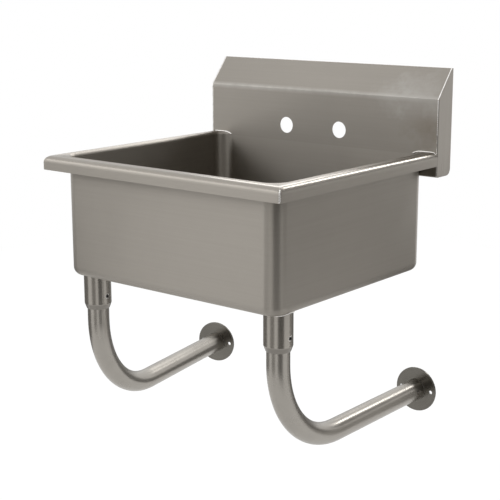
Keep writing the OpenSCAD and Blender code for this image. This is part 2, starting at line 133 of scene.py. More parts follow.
class Wiring(NodeTree):
    """A material with a Principled shader."""

    def __init__(self, name: str) -> None:
        """Starts the material.

        Args:
            name: Name of the material.
        """
        self.material = bpy.data.materials.new(name)
        self.material.use_nodes = True
        super().__init__(self.material.node_tree)
        self.tree.nodes.clear()
        self.shader = self.add("ShaderNodeBsdfPrincipled")
        self.output = self.add("ShaderNodeOutputMaterial", {"Surface": self.shader.outputs[0]})

    def coords(self, which: str, scale: tuple[float, float, float]) -> bpy.types.NodeSocket:
        """Scaled coordinates.

        Args:
            which: "Object" or "UV".
            scale: Factor on each axis.

        Returns:
            The vector socket.
        """
        source = self.add("ShaderNodeTexCoord").outputs[which]
        return self.add("ShaderNodeMapping", {"Vector": source, "Scale": scale}).outputs[0]

    def noise(self, vector: bpy.types.NodeSocket, scale: float, detail: float = 2.0,
              rough: float = 0.5) -> bpy.types.NodeSocket:
        """Noise between 0 and 1."""
        return self.add("ShaderNodeTexNoise", {
            "Vector": vector, "Scale": scale, "Detail": detail, "Roughness": rough}).outputs[0]

    def span(self, value: bpy.types.NodeSocket, low: float, high: float,
             to_low: float, to_high: float) -> bpy.types.NodeSocket:
        """Maps the range low to high onto another range, clamped.

        Args:
            value: The number to map.
            low: Start of its range.
            high: End of its range.
            to_low: What the start becomes.
            to_high: What the end becomes.

        Returns:
            The mapped number.
        """
        return self.add("ShaderNodeMapRange", {
            "Value": value, "From Min": low, "From Max": high,
            "To Min": to_low, "To Max": to_high}).outputs[0]

    def spread(self, noise: bpy.types.NodeSocket, to_low: float,
               to_high: float) -> bpy.types.NodeSocket:
        """Maps what a noise mostly gives onto another range, clamped."""
        return self.span(noise, 0.3, 0.7, to_low, to_high)

    def height(self, place: bpy.types.NodeSocket) -> bpy.types.NodeSocket:
        """Height of a place."""
        return self.add("ShaderNodeSeparateXYZ", {0: place}).outputs["Z"]

    def mix(self, factor: bpy.types.NodeSocket, a: object, b: object) -> bpy.types.NodeSocket:
        """Mix of two colours.

        Args:
            factor: Share of the second colour.
            a: First colour, plain or a socket.
            b: Second colour, plain or a socket.

        Returns:
            The mixed colour.
        """
        colours = [(*c, 1.0) if isinstance(c, tuple) else c for c in (a, b)]
        return self.add("ShaderNodeMix", {0: factor, 6: colours[0], 7: colours[1]},
                        data_type="RGBA").outputs[2]

    def bump(self, height: bpy.types.NodeSocket, strength: float, depth: float,
             under: bpy.types.NodeSocket | None = None) -> bpy.types.NodeSocket:
        """Normal bent by a height, over another bent normal where one is given.

        Args:
            height: The height.
            strength: Strength of the bump.
            depth: Depth of the bump in metres.
            under: Normal below it.

        Returns:
            The bent normal.
        """
        inputs: dict[str | int, object] = {
            "Height": height, "Strength": strength, "Distance": depth}
        if under is not None:
            inputs["Normal"] = under
        return self.add("ShaderNodeBump", inputs).outputs[0]

    def shade(self, **inputs: object) -> bpy.types.Material:
        """Sets the shader's inputs and gives the finished material.

        Args:
            inputs: Values or sockets, with underscores for spaces in the names.

        Returns:
            The material.
        """
        for key, value in inputs.items():
            self.put(self.shader.inputs[key.replace("_", " ")], value)
        return self.material


HEAT_TINT = (0.20, 0.165, 0.125)
# Colour of painted highlights: lighter patches mixed into the steel's colour
PAINTED_HIGHLIGHT_TINT = (0.50, 0.485, 0.46)
# Colour of the painted highlight along the backsplash's bend
BEND_HIGHLIGHT_TINT = (0.54, 0.52, 0.49)
# Factor of the painted shade on the sockets' lower taper
TAPER_PAINTED_SHADE = 0.62

# V at which the rim's ground crest fades in and out, in metres from the roll
CREST_FROM = (0.0145, 0.0165)
CREST_TO = (0.023, 0.031)


@dataclass(frozen=True)
class BrushedSteel:
    """Stainless sheet with a satin grain, slight waves, straw-coloured weld marks and painted
    highlights.
    """

    name: str
    colour: Colour = (0.345, 0.320, 0.286)
    roughness: float = 0.42
    grain: Grain = Grain.ALONG_U
    fine: float = 1500.0
    coarse: float = 230.0
    contrast: float = 0.04
    anisotropy: float = 0.85
    waves: float = 0.25
    rim_roughness: float = 0.0
    marks: tuple[Spot, ...] = ()
    # Places and reaches of painted highlights, lighter patches in the colour
    painted_highlights: tuple[Spot, ...] = ()
    # Height and reach of a painted highlight along the bend, in millimetres
    bend: tuple[float, float] = (0.0, 0.0)

    def build(self) -> bpy.types.Material:
        """Makes the material.

        Returns:
            The material.
        """
        w = Wiring(self.name)
        along = self.grain is Grain.ALONG_U
        fine, streak = (w.coords("UV", (slow, across, 1) if along else (across, slow, 1))
                        for slow, across in ((5, self.fine), (3, self.coarse)))
        fine, streak = w.noise(fine, 1, 3, 0.6), w.noise(streak, 1, 4)
        place = w.coords("Object", (1, 1, 1))
        cloud, smear = w.noise(place, 7, 3), w.noise(place, 38, 5, 0.62)
        low, high = (tuple(c * k for c in self.colour)
                     for k in (1 - self.contrast, 1 + self.contrast))
        tone = w.math("ADD", w.spread(streak, 0.0, 0.45), w.spread(cloud, 0.0, 0.4))
        tone = w.math("ADD", tone, w.span(smear, 0.35, 0.7, 0.0, 0.15))
        colour = w.mix(tone, low, high)
        # Heat-tint marks are straw-coloured stains; the lighter patches are painted highlights
        for spots, tint, strength in ((self.marks, HEAT_TINT, 0.45),
                                      (self.painted_highlights, PAINTED_HIGHLIGHT_TINT, 0.4)):
            for x, y, z, reach in spots:
                offset = w.add("ShaderNodeVectorMath", {0: place, 1: (x * MM, y * MM, z * MM)},
                               operation="DISTANCE").outputs["Value"]
                ragged = 0.4 * reach * MM
                offset = w.math("ADD", offset, w.spread(smear, -ragged, ragged))
                colour = w.mix(w.span(offset, 0.0, reach * MM, strength, 0.0), colour, tint)
        # Painted highlight: a lighter band along the bend
        if self.bend[1]:
            colour = w.mix(self.bend_highlight(w, place, smear), colour, BEND_HIGHLIGHT_TINT)
        gloss = w.math("MULTIPLY", w.math("ADD", w.span(fine, 0.25, 0.75, 0.88, 1.12),
                                          w.spread(cloud, -0.06, 0.06)), self.base_gloss(w))
        grained = w.bump(fine, 0.10, 0.0003, w.bump(w.noise(place, 11, 1), self.waves, 0.004))
        tangent = w.add("ShaderNodeTangent", direction_type="UV_MAP", uv_map="UVMap").outputs[0]
        return w.shade(Base_Color=colour, Roughness=gloss, Normal=grained, Tangent=tangent,
                       Metallic=1.0, Anisotropic=self.anisotropy,
                       Anisotropic_Rotation=0.25 if along else 0.0)

    def bend_highlight(self, w: Wiring, place: bpy.types.NodeSocket,
                  smear: bpy.types.NodeSocket) -> bpy.types.NodeSocket:
        """How strongly a painted highlight lightens the sheet along its bend.

        Args:
            w: The material.
            place: Object coordinates.
            smear: Noise that makes the band uneven.

        Returns:
            The share of the bright tint.
        """
        middle, reach = self.bend
        level = w.height(place)
        band = w.math("MULTIPLY", w.span(level, (middle - reach) * MM, middle * MM, 0.0, 1.0),
                      w.span(level, middle * MM, (middle + 0.7 * reach) * MM, 1.0, 0.0))
        return w.math("MULTIPLY", band, w.span(smear, 0.3, 0.6, 0.3, 0.6))

    def base_gloss(self, w: Wiring) -> object:
        """Roughness before its grain: all over, or smoother where V is on the rim's crest.

        Args:
            w: The material.

        Returns:
            A number or a socket.
        """
        if not self.rim_roughness:
            return self.roughness
        across = w.add("ShaderNodeSeparateXYZ", {0: w.coords("UV", (1, 1, 1))}).outputs["Y"]
        polish = w.math("MINIMUM", w.span(across, *CREST_FROM, 0.0, 1.0),
                        w.span(across, *CREST_TO, 1.0, 0.0))
        return w.span(polish, 0.0, 1.0, self.roughness, self.rim_roughness)


@dataclass(frozen=True)
class DrawnSteel:
    """Smooth tube or turned steel: polished, with drawing lines, handling marks and, where asked,
    painted shade low down.
    """

    name: str
    colour: Colour = (0.42, 0.39, 0.35)
    roughness: float = 0.17
    lines: tuple[float, float, float] = (2.0, 2.0, 1500.0)
    depth: float = 0.05
    waves: float = 0.2
    # Height in millimetres below which the colour is darkened: painted shade
    painted_shade_below: float = 0.0

    def build(self) -> bpy.types.Material:
        """Makes the material.

        Returns:
            The material.
        """
        w = Wiring(self.name)
        lines = w.noise(w.coords("Object", self.lines), 1, 2)
        place = w.coords("Object", (1, 1, 1))
        cloud = w.noise(place, 16, 4, 0.6)
        low = tuple(c * 0.94 for c in self.colour)
        high = tuple(c * 1.05 for c in self.colour)
        tone = w.math("ADD", w.spread(lines, 0.0, 0.3), w.spread(cloud, 0.0, 0.7))
        gloss = w.spread(cloud, self.roughness - 0.02, self.roughness + 0.03)
        bent = w.bump(w.noise(place, 24, 1), self.waves, 0.001)
        if self.depth:
            bent = w.bump(lines, self.depth, 0.0002, bent)
        colour = w.mix(tone, low, high)
        # Painted shade: the colour darkens below the given height
        if self.painted_shade_below:
            foot = w.span(w.height(place), (self.painted_shade_below - 1.2) * MM,
                          (self.painted_shade_below + 0.8) * MM, 1.0, 0.0)
            colour = w.mix(foot, colour, tuple(c * TAPER_PAINTED_SHADE for c in self.colour))
        return w.shade(Base_Color=colour, Roughness=gloss, Normal=bent, Metallic=1.0)


@dataclass(frozen=True)
class PlatedMetal:
    """Dull metal with a spangle or cast skin: zinc, brass or black oxide."""

    name: str
    colour: Colour
    shade: Colour
    roughness: float
    spangle: float = 160.0
    skin: float = 900.0
    depth: float = 0.15

    def build(self) -> bpy.types.Material:
        """Makes the material.

        Returns:
            The material.
        """
        w = Wiring(self.name)
        place = w.coords("Object", (1, 1, 1))
        cells = w.add("ShaderNodeTexVoronoi",
                      {"Vector": place, "Scale": self.spangle}).outputs["Color"]
        tone = w.add("ShaderNodeSeparateColor", {0: cells}).outputs[0]
        stain = w.noise(place, 30, 5, 0.65)
        colour = w.mix(w.math("MULTIPLY", tone, 0.5), self.colour, self.shade)
        colour = w.mix(w.span(stain, 0.5, 0.8, 0.0, 0.6), colour, self.shade)
        gloss = w.spread(stain, self.roughness - 0.06, self.roughness + 0.08)
        skin = w.noise(place, self.skin, 3)
        return w.shade(Base_Color=colour, Roughness=gloss, Metallic=1.0,
                       Normal=w.bump(skin, self.depth, 0.0003))


@dataclass(frozen=True)
class MouldedRubber:
    """Rubber or pressed fibre, with a fine skin and a little bloom."""

    name: str
    colour: Colour
    bloom: Colour
    roughness: float = 0.6
    fibre: float = 700.0

    def build(self) -> bpy.types.Material:
        """Makes the material.

        Returns:
            The material.
        """
        w = Wiring(self.name)
        place = w.coords("Object", (1, 1, 1))
        bloom = w.noise(place, 60, 5, 0.6)
        skin = w.noise(place, self.fibre, 3, 0.6)
        colour = w.mix(w.span(bloom, 0.45, 0.8, 0.0, 0.5), self.colour, self.bloom)
        gloss = w.spread(skin, self.roughness - 0.08, self.roughness + 0.1)
        return w.shade(Base_Color=colour, Roughness=gloss, Normal=w.bump(skin, 0.25, 0.0003))


# ---------------------------------------------------------------- shapes


def arc(middle: Point, radius: float, start: float, end: float, steps: int) -> list[Point]:
    """Points on an arc.

    Args:
        middle: Its centre.
        radius: Its radius.
        start: First angle in degrees.
        end: Last angle in degrees.
        steps: Number of chords.

    Returns:
        The points, both ends included.
    """
    angles = [math.radians(start + (end - start) * i / steps) for i in range(steps + 1)]
    return [(middle[0] + radius * math.cos(t), middle[1] + radius * math.sin(t)) for t in angles]


def turns(count: int) -> list[float]:
    """Angles of evenly spaced points round a circle."""
    return [math.tau * i / count for i in range(count)]


def quarter(steps: int) -> list[float]:
    """Angles from 0 to 90 degrees in even steps, both included."""
    return [math.radians(90 * i / steps) for i in range(steps + 1)]


def rounded(corners: Sequence[Corner], closed: bool = True, steps: int = 5) -> list[Point]:
    """Rounds the corners of a line.

    Args:
        corners: Each corner's two coordinates and its radius.
        closed: Whether the line closes on itself.
        steps: Chords in each arc.

    Returns:
        The points of the rounded line.
    """
    line: list[Point] = []
    count = len(corners)
    for i, (x, y, radius) in enumerate(corners):
        if radius <= 0 or (not closed and i in (0, count - 1)):
            line.append((x, y))
            continue
        here = Vector((x, y))
        back = (Vector(corners[i - 1][:2]) - here).normalized()
        on = (Vector(corners[(i + 1) % count][:2]) - here).normalized()
        half = back.angle(on) / 2
        middle = here + (back + on).normalized() * radius / math.sin(half)
        first = here + back * radius / math.tan(half) - middle
        last = here + on * radius / math.tan(half) - middle
        start = math.degrees(math.atan2(first.y, first.x))
        turn = math.degrees(math.atan2(last.y, last.x)) - start
        turn = (turn + 540) % 360 - 180
        line += arc((middle.x, middle.y), radius, start, start + turn, steps)
    return line


def lengths(points: Sequence[Vector]) -> list[float]:
    """Running length at each point of a line.

    Args:
        points: The line's points.

    Returns:
        The length from the first point to each one.
    """
    total, run = 0.0, [0.0]
    for a, b in zip(points, points[1:]):
        total += (b - a).length
        run.append(total)
    return run


def new_piece(name: str, mesh: bpy.types.Mesh) -> bpy.types.Object:
    """Puts a mesh in the scene as an object at the origin.

    Args:
        name: Name of the piece.
        mesh: Its mesh.

    Returns:
        The new object.
    """
    piece = bpy.data.objects.new(name, mesh)
    bpy.context.scene.collection.objects.link(piece)
    return piece


def woven(name: str, rows: Sequence[Sequence[Vector]], close_row: bool, close_all: bool,
          outward: bool = True) -> bpy.types.Object:
    """Joins rows of points with four-sided faces and gives them a UV map in metres.

    Args:
        name: Name of the piece.
        rows: Rows of equal length, in millimetres.
        close_row: Whether each row closes on itself.
        close_all: Whether the last row joins the first.
        outward: Whether the shell is closed, so that its faces are turned outwards.

    Returns:
        The new object.
    """
    shape = bmesh.new()
    layer = shape.loops.layers.uv.new("UVMap")
    points = [[shape.verts.new(p * MM) for p in row] for row in rows]
    middle = rows[len(rows) // 2]
    v_run = lengths([*middle, middle[0]])
    u_run = lengths([*(max(row, key=lambda p: p.xy.length) for row in rows), rows[0][0]])
    count = len(middle)
    for i in range(len(rows) if close_all else len(rows) - 1):
        for j in range(count if close_row else count - 1):
            near, far, side = points[i], points[(i + 1) % len(rows)], (j + 1) % count
            face = shape.faces.new((near[j], far[j], far[side], near[side]))
            spots = ((i, j), (i + 1, j), (i + 1, j + 1), (i, j + 1))
            for loop, (a, b) in zip(face.loops, spots):
                loop[layer].uv = (u_run[a] * MM, v_run[b] * MM)
    bmesh.ops.remove_doubles(shape, verts=shape.verts, dist=1e-7)
    bmesh.ops.dissolve_degenerate(shape, edges=shape.edges, dist=1e-7)
    if outward:
        bmesh.ops.holes_fill(shape, edges=shape.edges, sides=0)
        bmesh.ops.recalc_face_normals(shape, faces=shape.faces)
    mesh = bpy.data.meshes.new(name)
    shape.to_mesh(mesh)
    shape.free()
    return new_piece(name, mesh)


def turned(name: str, profile: Sequence[Ring],
           steps: int = 96, sweep: tuple[float, float] | None = None,
           closed: bool = True) -> bpy.types.Object:
    """Turns a profile round the Z axis.

    Args:
        name: Name of the piece.
        profile: Radius, height and, where it isn't round, the form of each ring.
        steps: Divisions of the turn.
        sweep: First and last angle in degrees, where it isn't a full turn.
        closed: Whether the profile closes on itself, else its ends lie on the axis.

    Returns:
        The new object.
    """
    start, end = sweep or (0.0, 360.0)
    rows = []
    for i in range(steps + (1 if sweep else 0)):
        angle = math.radians(start + (end - start) * i / steps)
        row = []
        for ring in profile:
            radius, form = ring[0], ring[2] if len(ring) == 3 else Form.ROUND
            if form is Form.HEXAGON:
                radius /= math.cos((angle + math.pi / 6) % (math.pi / 3) - math.pi / 6)
            row.append(Vector((radius * math.cos(angle), radius * math.sin(angle), ring[1])))
        rows.append(row)
    return woven(name, rows, closed, sweep is None)


def folded(name: str, line: Sequence[Point], x_from: float, x_to: float,
           closed: bool = False) -> bpy.types.Object:
    """Stretches a line in the YZ plane along X.

    Args:
        name: Name of the piece.
        line: The section's points.
        x_from: First end.
        x_to: Last end.
        closed: Whether the section is closed, and its ends are filled.

    Returns:
        The new object.
    """
    rows = [[Vector((x, y, z)) for y, z in line] for x in (x_from, x_to)]
    return woven(name, rows, closed, False, closed)


def moved(piece: bpy.types.Object, matrix: Matrix) -> bpy.types.Object:
    """Moves the mesh of a piece, whose object stays at the origin.

    Args:
        piece: The piece.
        matrix: Where its mesh goes.

    Returns:
        The same piece.
    """
    piece.data.transform(matrix)
    piece.data.update()
    return piece


def at(x: float, y: float, z: float, turn: Matrix | None = None) -> Matrix:
    """Matrix for a place in millimetres, after a turn."""
    place = Matrix.Translation(Vector((x, y, z)) * MM)
    return place @ turn if turn else place


def applied(piece: bpy.types.Object) -> bpy.types.Object:
    """Turns a piece's modifiers into its mesh.

    Args:
        piece: The piece.

    Returns:
        The same piece.
    """
    graph = bpy.context.evaluated_depsgraph_get()
    mesh = bpy.data.meshes.new_from_object(
        piece.evaluated_get(graph), preserve_all_data_layers=True, depsgraph=graph)
    piece.modifiers.clear()
    piece.data = mesh
    return piece


def with_wall(piece: bpy.types.Object, thickness: float) -> bpy.types.Object:
    """Gives a sheet its thickness, away from its visible side.

    Args:
        piece: The sheet.
        thickness: Its thickness in millimetres.

    Returns:
        The same piece.
    """
    wall = piece.modifiers.new("wall", "SOLIDIFY")
    wall.thickness = thickness * MM
    wall.offset = -1.0
    wall.use_even_offset = True
    return applied(piece)


def cut_away(piece: bpy.types.Object, cutters: Sequence[bpy.types.Object]) -> bpy.types.Object:
    """Takes the cutters' shapes out of a piece, and removes the cutters.

    Args:
        piece: The piece.
        cutters: What is taken out of it.

    Returns:
        The same piece.
    """
    for cutter in cutters:
        cut = piece.modifiers.new("cut", "BOOLEAN")
        cut.operation = "DIFFERENCE"
        cut.solver = "EXACT"
        cut.object = cutter
    applied(piece)
    for cutter in cutters:
        bpy.data.objects.remove(cutter)
    return piece


def eased(piece: bpy.types.Object, width: float, segments: int = 2,
          angle: float = 40.0) -> bpy.types.Object:
    """Rounds the edges of a piece that are sharper than an angle.

    Args:
        piece: The piece.
        width: Width of the rounding in millimetres.
        segments: Steps in the rounding.
        angle: Least angle of such an edge, in degrees.

    Returns:
        The same piece.
    """
    bevel = piece.modifiers.new("ease", "BEVEL")
    bevel.width = width * MM
    bevel.segments = segments
    bevel.limit_method = "ANGLE"
    bevel.angle_limit = math.radians(angle)
    return applied(piece)


def rod(radius: float, length: float, place: Matrix, sides: int = 48) -> bpy.types.Object:
    """Plain rod along Z from the place's origin, to cut with."""
    line = [(0, 0), (radius, 0), (radius, length), (0, length)]
    return moved(turned("cutter", line, sides, None, False), place)


def merged(name: str, *pieces: bpy.types.Object) -> bpy.types.Object:
    """Joins pieces into one mesh.

    Args:
        name: Name of the joined piece.
        pieces: The pieces, which are removed.

    Returns:
        The joined object.
    """
    shape = bmesh.new()
    for piece in pieces:
        shape.from_mesh(piece.data)
        bpy.data.objects.remove(piece)
    mesh = bpy.data.meshes.new(name)
    shape.to_mesh(mesh)
    shape.free()
    return new_piece(name, mesh)


# ---------------------------------------------------------------- geometry node recipes


class Recipe(NodeTree):
    """A Geometry Nodes tree that is built in steps and baked into plain meshes."""

    def __init__(self, name: str, finish: bpy.types.Material,
                 sizes: dict[str, float | int]) -> None:
        """Starts a tree.

        Args:
            name: Name of the tree.
            finish: Material that it sets.
            sizes: Its named inputs, with their values at first.
        """
        self.finish = finish
        super().__init__(bpy.data.node_groups.new(name, "GeometryNodeTree"))
        face = self.tree.interface
        face.new_socket("Geometry", in_out="OUTPUT", socket_type="NodeSocketGeometry")
        face.new_socket("Geometry", in_out="INPUT", socket_type="NodeSocketGeometry")
        face.new_socket("Finish", in_out="INPUT", socket_type="NodeSocketMaterial")
        self.keys: dict[str, str] = {}
        for label, value in sizes.items():
            kind = "NodeSocketInt" if isinstance(value, int) else "NodeSocketFloat"
            self.keys[label] = face.new_socket(label, in_out="INPUT", socket_type=kind).identifier
        self.finish_key = face.items_tree["Finish"].identifier
        self.start = self.add("NodeGroupInput").outputs

    def swept(self, radius: object, sides: int, scale: object = 1.0,
              caps: bool = True, curve: object = None) -> bpy.types.NodeSocket:
        """Round bar along the incoming line, or along a given curve.

        Args:
            radius: Radius of the bar.
            sides: Number of its sides.
            scale: Factor on the radius, which may change along the line.
            caps: Whether its ends are filled.
            curve: The curve, where it is given.

        Returns:
            The bar.
        """
        if curve is None:
            curve = self.add("GeometryNodeMeshToCurve", {"Mesh": self.start["Geometry"]}).outputs[0]
        ring = self.add("GeometryNodeCurvePrimitiveCircle", {"Resolution": sides, "Radius": radius})
        return self.add("GeometryNodeCurveToMesh", {
            "Curve": curve, "Profile Curve": ring.outputs[0], "Scale": scale,
            "Fill Caps": caps}).outputs[0]

    def round_axis(self, count: object, radius: object, shape: object,
                   height: object = 0.0) -> bpy.types.NodeSocket:
        """Copies of a shape on a circle round the Z axis, each turned outwards.

        Args:
            count: Number of copies.
            radius: Radius of the circle.
            shape: What is copied.
            height: Height of the circle.

        Returns:
            The copies.
        """
        ring = self.add("GeometryNodeMeshCircle", {"Vertices": count, "Radius": radius})
        spot = self.add("GeometryNodeInputPosition").outputs[0]
        turn = self.add("FunctionNodeAlignRotationToVector", {"Vector": spot}, axis="X").outputs[0]
        copies = self.add("GeometryNodeInstanceOnPoints", {
            "Points": ring.outputs[0], "Instance": shape, "Rotation": turn}).outputs[0]
        lift = self.add("ShaderNodeCombineXYZ", {"Z": height}).outputs[0]
        return self.add("GeometryNodeTransform", {
            "Geometry": copies, "Translation": lift}).outputs[0]

    def together(self, *shapes: bpy.types.NodeSocket) -> bpy.types.NodeSocket:
        """Joins shapes.

        Args:
            shapes: The shapes.

        Returns:
            All of them as one.
        """
        node = self.add("GeometryNodeJoinGeometry")
        for shape in shapes:
            self.tree.links.new(shape, node.inputs[0])
        return node.outputs[0]

    def close(self, shape: bpy.types.NodeSocket) -> "Recipe":
        """Ends the tree: instances are made real and the finish is set.

        Args:
            shape: What the tree makes.

        Returns:
            The recipe itself.
        """
        real = self.add("GeometryNodeRealizeInstances", {0: shape}).outputs[0]
        done = self.add("GeometryNodeSetMaterial", {
            "Geometry": real, "Material": self.start["Finish"]}).outputs[0]
        self.tree.links.new(done, self.tree.nodes.new("NodeGroupOutput").inputs[0])
        return self

    def bake(self, name: str, base: bpy.types.Mesh,
             sizes: dict[str, float | int]) -> bpy.types.Object:
        """Runs the tree and keeps the result as a plain mesh.

        Args:
            name: Name of the piece.
            base: Mesh that goes into the tree.
            sizes: Value of each named input.

        Returns:
            The new object.
        """
        piece = new_piece(name, base)
        step = piece.modifiers.new("recipe", "NODES")
        step.node_group = self.tree
        step[self.finish_key] = self.finish
        for label, value in sizes.items():
            step[self.keys[label]] = value
        return applied(piece)


def line_mesh(points: Sequence[Vector], loop: bool = False) -> bpy.types.Mesh:
    """Mesh of edges through points in millimetres.

    Args:
        points: The line's points.
        loop: Whether the last point joins the first.

    Returns:
        The mesh.
    """
    mesh = bpy.data.meshes.new("line")
    count = len(points)
    edges = [(i, (i + 1) % count) for i in range(count if loop else count - 1)]
    mesh.from_pydata([p * MM for p in points], edges, [])
    return mesh


def with_uv(piece: bpy.types.Object) -> bpy.types.Object:
    """Gives a baked piece a UV map from its round shape, so that its finish has one to read.

    Args:
        piece: The piece.

    Returns:
        The same piece.
    """
    mesh = piece.data
    if not mesh.uv_layers:
        layer = mesh.uv_layers.new(name="UVMap")
        for loop in mesh.loops:
            spot = mesh.vertices[loop.vertex_index].co
            layer.data[loop.index].uv = (spot.x + spot.y, spot.z)
    return piece


# ---------------------------------------------------------------- finishes of this sink


SHARP_FROM = 32.0
EVEN_WEIGHT = 100


@dataclass(frozen=True)
class Finishes:
    """Materials of the whole sink, by the name of their slot."""

    made: dict[str, bpy.types.Material]

    @classmethod
    def mixed(cls) -> "Finishes":
        """Makes every finish.

        Returns:
            The set of finishes.
        """
        joint_marks = tuple((x * 199.0, -42.0, -78.0, 13.0) for x in (-1, 1))
        socket_marks = tuple((x * 186.0, -366.0, -254.0, 15.0) for x in (-1, 1))
        kinds = {
            "bowl_steel": BrushedSteel("satin sheet, bowl", rim_roughness=0.21,
                                       marks=joint_marks + socket_marks),
            # The backsplash's colour is the bowl's steel made a little darker: painted shade
            "splash_steel": BrushedSteel("satin sheet, backsplash", (0.324, 0.301, 0.269),
                                         marks=((200.0, -38.0, -45.0, 46.0),),
                                         # The lighter patches on the backsplash are painted
                                         # highlights
                                         painted_highlights=((176.0, -34.0, 6.0, 46.0),
                                                (132.0, -38.0, -2.0, 34.0),
                                                (208.0, -38.0, -16.0, 20.0)), bend=(-0.5, 7.0)),
            "cap_steel": BrushedSteel("brushed end cap", (0.335, 0.311, 0.28), 0.30,
                                      Grain.ALONG_V, coarse=420.0, contrast=0.08, waves=0.15),
            # The weld's steel is much lighter than the sheet's: ground metal, and partly a painted
            # highlight along the seams
            "weld": DrawnSteel("ground weld", (0.90, 0.88, 0.85), 0.16, (300.0, 300.0, 300.0)),
            "hanger_zinc": PlatedMetal("galvanised strip", (0.50, 0.50, 0.49),
                                       (0.33, 0.34, 0.35), 0.42),
            "socket_steel": DrawnSteel("turned socket", (0.37, 0.345, 0.31), 0.24, depth=0.03,
                                       # The sockets' taper below this height gets painted shade
                                       painted_shade_below=-300.2),
            "screw_black": PlatedMetal("black oxide", (0.12, 0.115, 0.11),
                                       (0.05, 0.05, 0.05), 0.35),
            "tube_steel": DrawnSteel("polished tube", (0.38, 0.357, 0.322), 0.28,
                                     (40.0, 40.0, 40.0), 0.0),
            "flange_steel": BrushedSteel("turned plate", (0.17, 0.16, 0.142), 0.22, fine=900.0,
                                         coarse=300.0, contrast=0.15, anisotropy=0.75, waves=0.1),
            "drain_steel": DrawnSteel("polished drain", (0.55, 0.53, 0.50), 0.12),
            "gasket_rubber": MouldedRubber("gasket rubber", (0.022, 0.021, 0.02),
                                           (0.07, 0.068, 0.065)),
            "friction_fibre": MouldedRubber("pressed fibre", (0.30, 0.17, 0.085),
                                            (0.42, 0.28, 0.16), 0.8),
            "nut_zinc": PlatedMetal("cast zinc", (0.52, 0.51, 0.49), (0.34, 0.33, 0.32), 0.4),
            "basket_steel": DrawnSteel("pressed basket", (0.56, 0.54, 0.51), 0.15),
            "clip_steel": DrawnSteel("spring clip", (0.50, 0.50, 0.50), 0.2),
            "post_steel": DrawnSteel("turned knob", (0.56, 0.54, 0.51), 0.12),
            "stopper_rubber": MouldedRubber("stopper rubber", (0.018, 0.018, 0.018),
                                            (0.06, 0.058, 0.055), 0.5),
            "stem_nut_brass": PlatedMetal("turned brass", (0.60, 0.42, 0.17),
                                          (0.40, 0.26, 0.10), 0.28),
        }
        return cls({slot: kind.build() for slot, kind in kinds.items()})

    def dress(self, piece: bpy.types.Object, body: str, slot: str, *nodes: str,
              finish: str = "") -> bpy.types.Object:
        """Shades a finished piece, gives it its material and hands it to the frame.

        Args:
            piece: The piece.
            body: Body that it moves with.
            slot: Material slot of the record.
            nodes: CAD nodes that it stands for.
            finish: Its finish, where that isn't the slot's own.

        Returns:
            The same piece.
        """
        shape = bmesh.new()
        shape.from_mesh(piece.data)
        for face in shape.faces:
            face.smooth = True
            face.material_index = 0
        for edge in shape.edges:
            bent = edge.calc_face_angle(0.0) if len(edge.link_faces) == 2 else 0.0
            edge.smooth = bent <= math.radians(SHARP_FROM)
        shape.to_mesh(piece.data)
        shape.free()
        piece.data.materials.clear()
        piece.data.materials.append(self.made[finish or slot])
        even = piece.modifiers.new("even", "WEIGHTED_NORMAL")
        even.keep_sharp = True
        even.weight = EVEN_WEIGHT
        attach(piece, body)
        if nodes:
            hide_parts(*nodes)
        LOG.info("%s: %d faces, rides on %s", piece.name, len(piece.data.polygons), body)
        return piece


@dataclass(frozen=True)
class Bead:
    """Size of a weld bead in millimetres, and how strongly it ripples."""

    radius: float
    pitch: float
    ripple: float

    def lay(self, recipe: Recipe, name: str, path: Sequence[Vector],
            closed: bool = False) -> bpy.types.Object:
        """Lays the bead along a path.

        Args:
            recipe: Recipe of a weld bead.
            name: Name of the piece.
            path: Points in millimetres.
            closed: Whether the path closes on itself.

        Returns:
            The bead, with a UV map.
        """
        sizes = {"Radius": self.radius * MM, "Pitch": self.pitch * MM, "Ripple": self.ripple}
        return with_uv(recipe.bake(name, line_mesh(path, closed), sizes))


# ---------------------------------------------------------------- the sink's sheet


@dataclass(frozen=True)
class Station:
    """One upright section of the bowl: where it stands and which way it looks."""

    x: float
    y: float
    angle: float
    mitre: float
    has_rim: bool

    def point(self, reach: float, z: float) -> Vector:
        """Point at a distance from the station's axis, in its direction."""
        turn = math.radians(self.angle)
        return Vector((self.x + reach * math.cos(turn), self.y + reach * math.sin(turn), z))


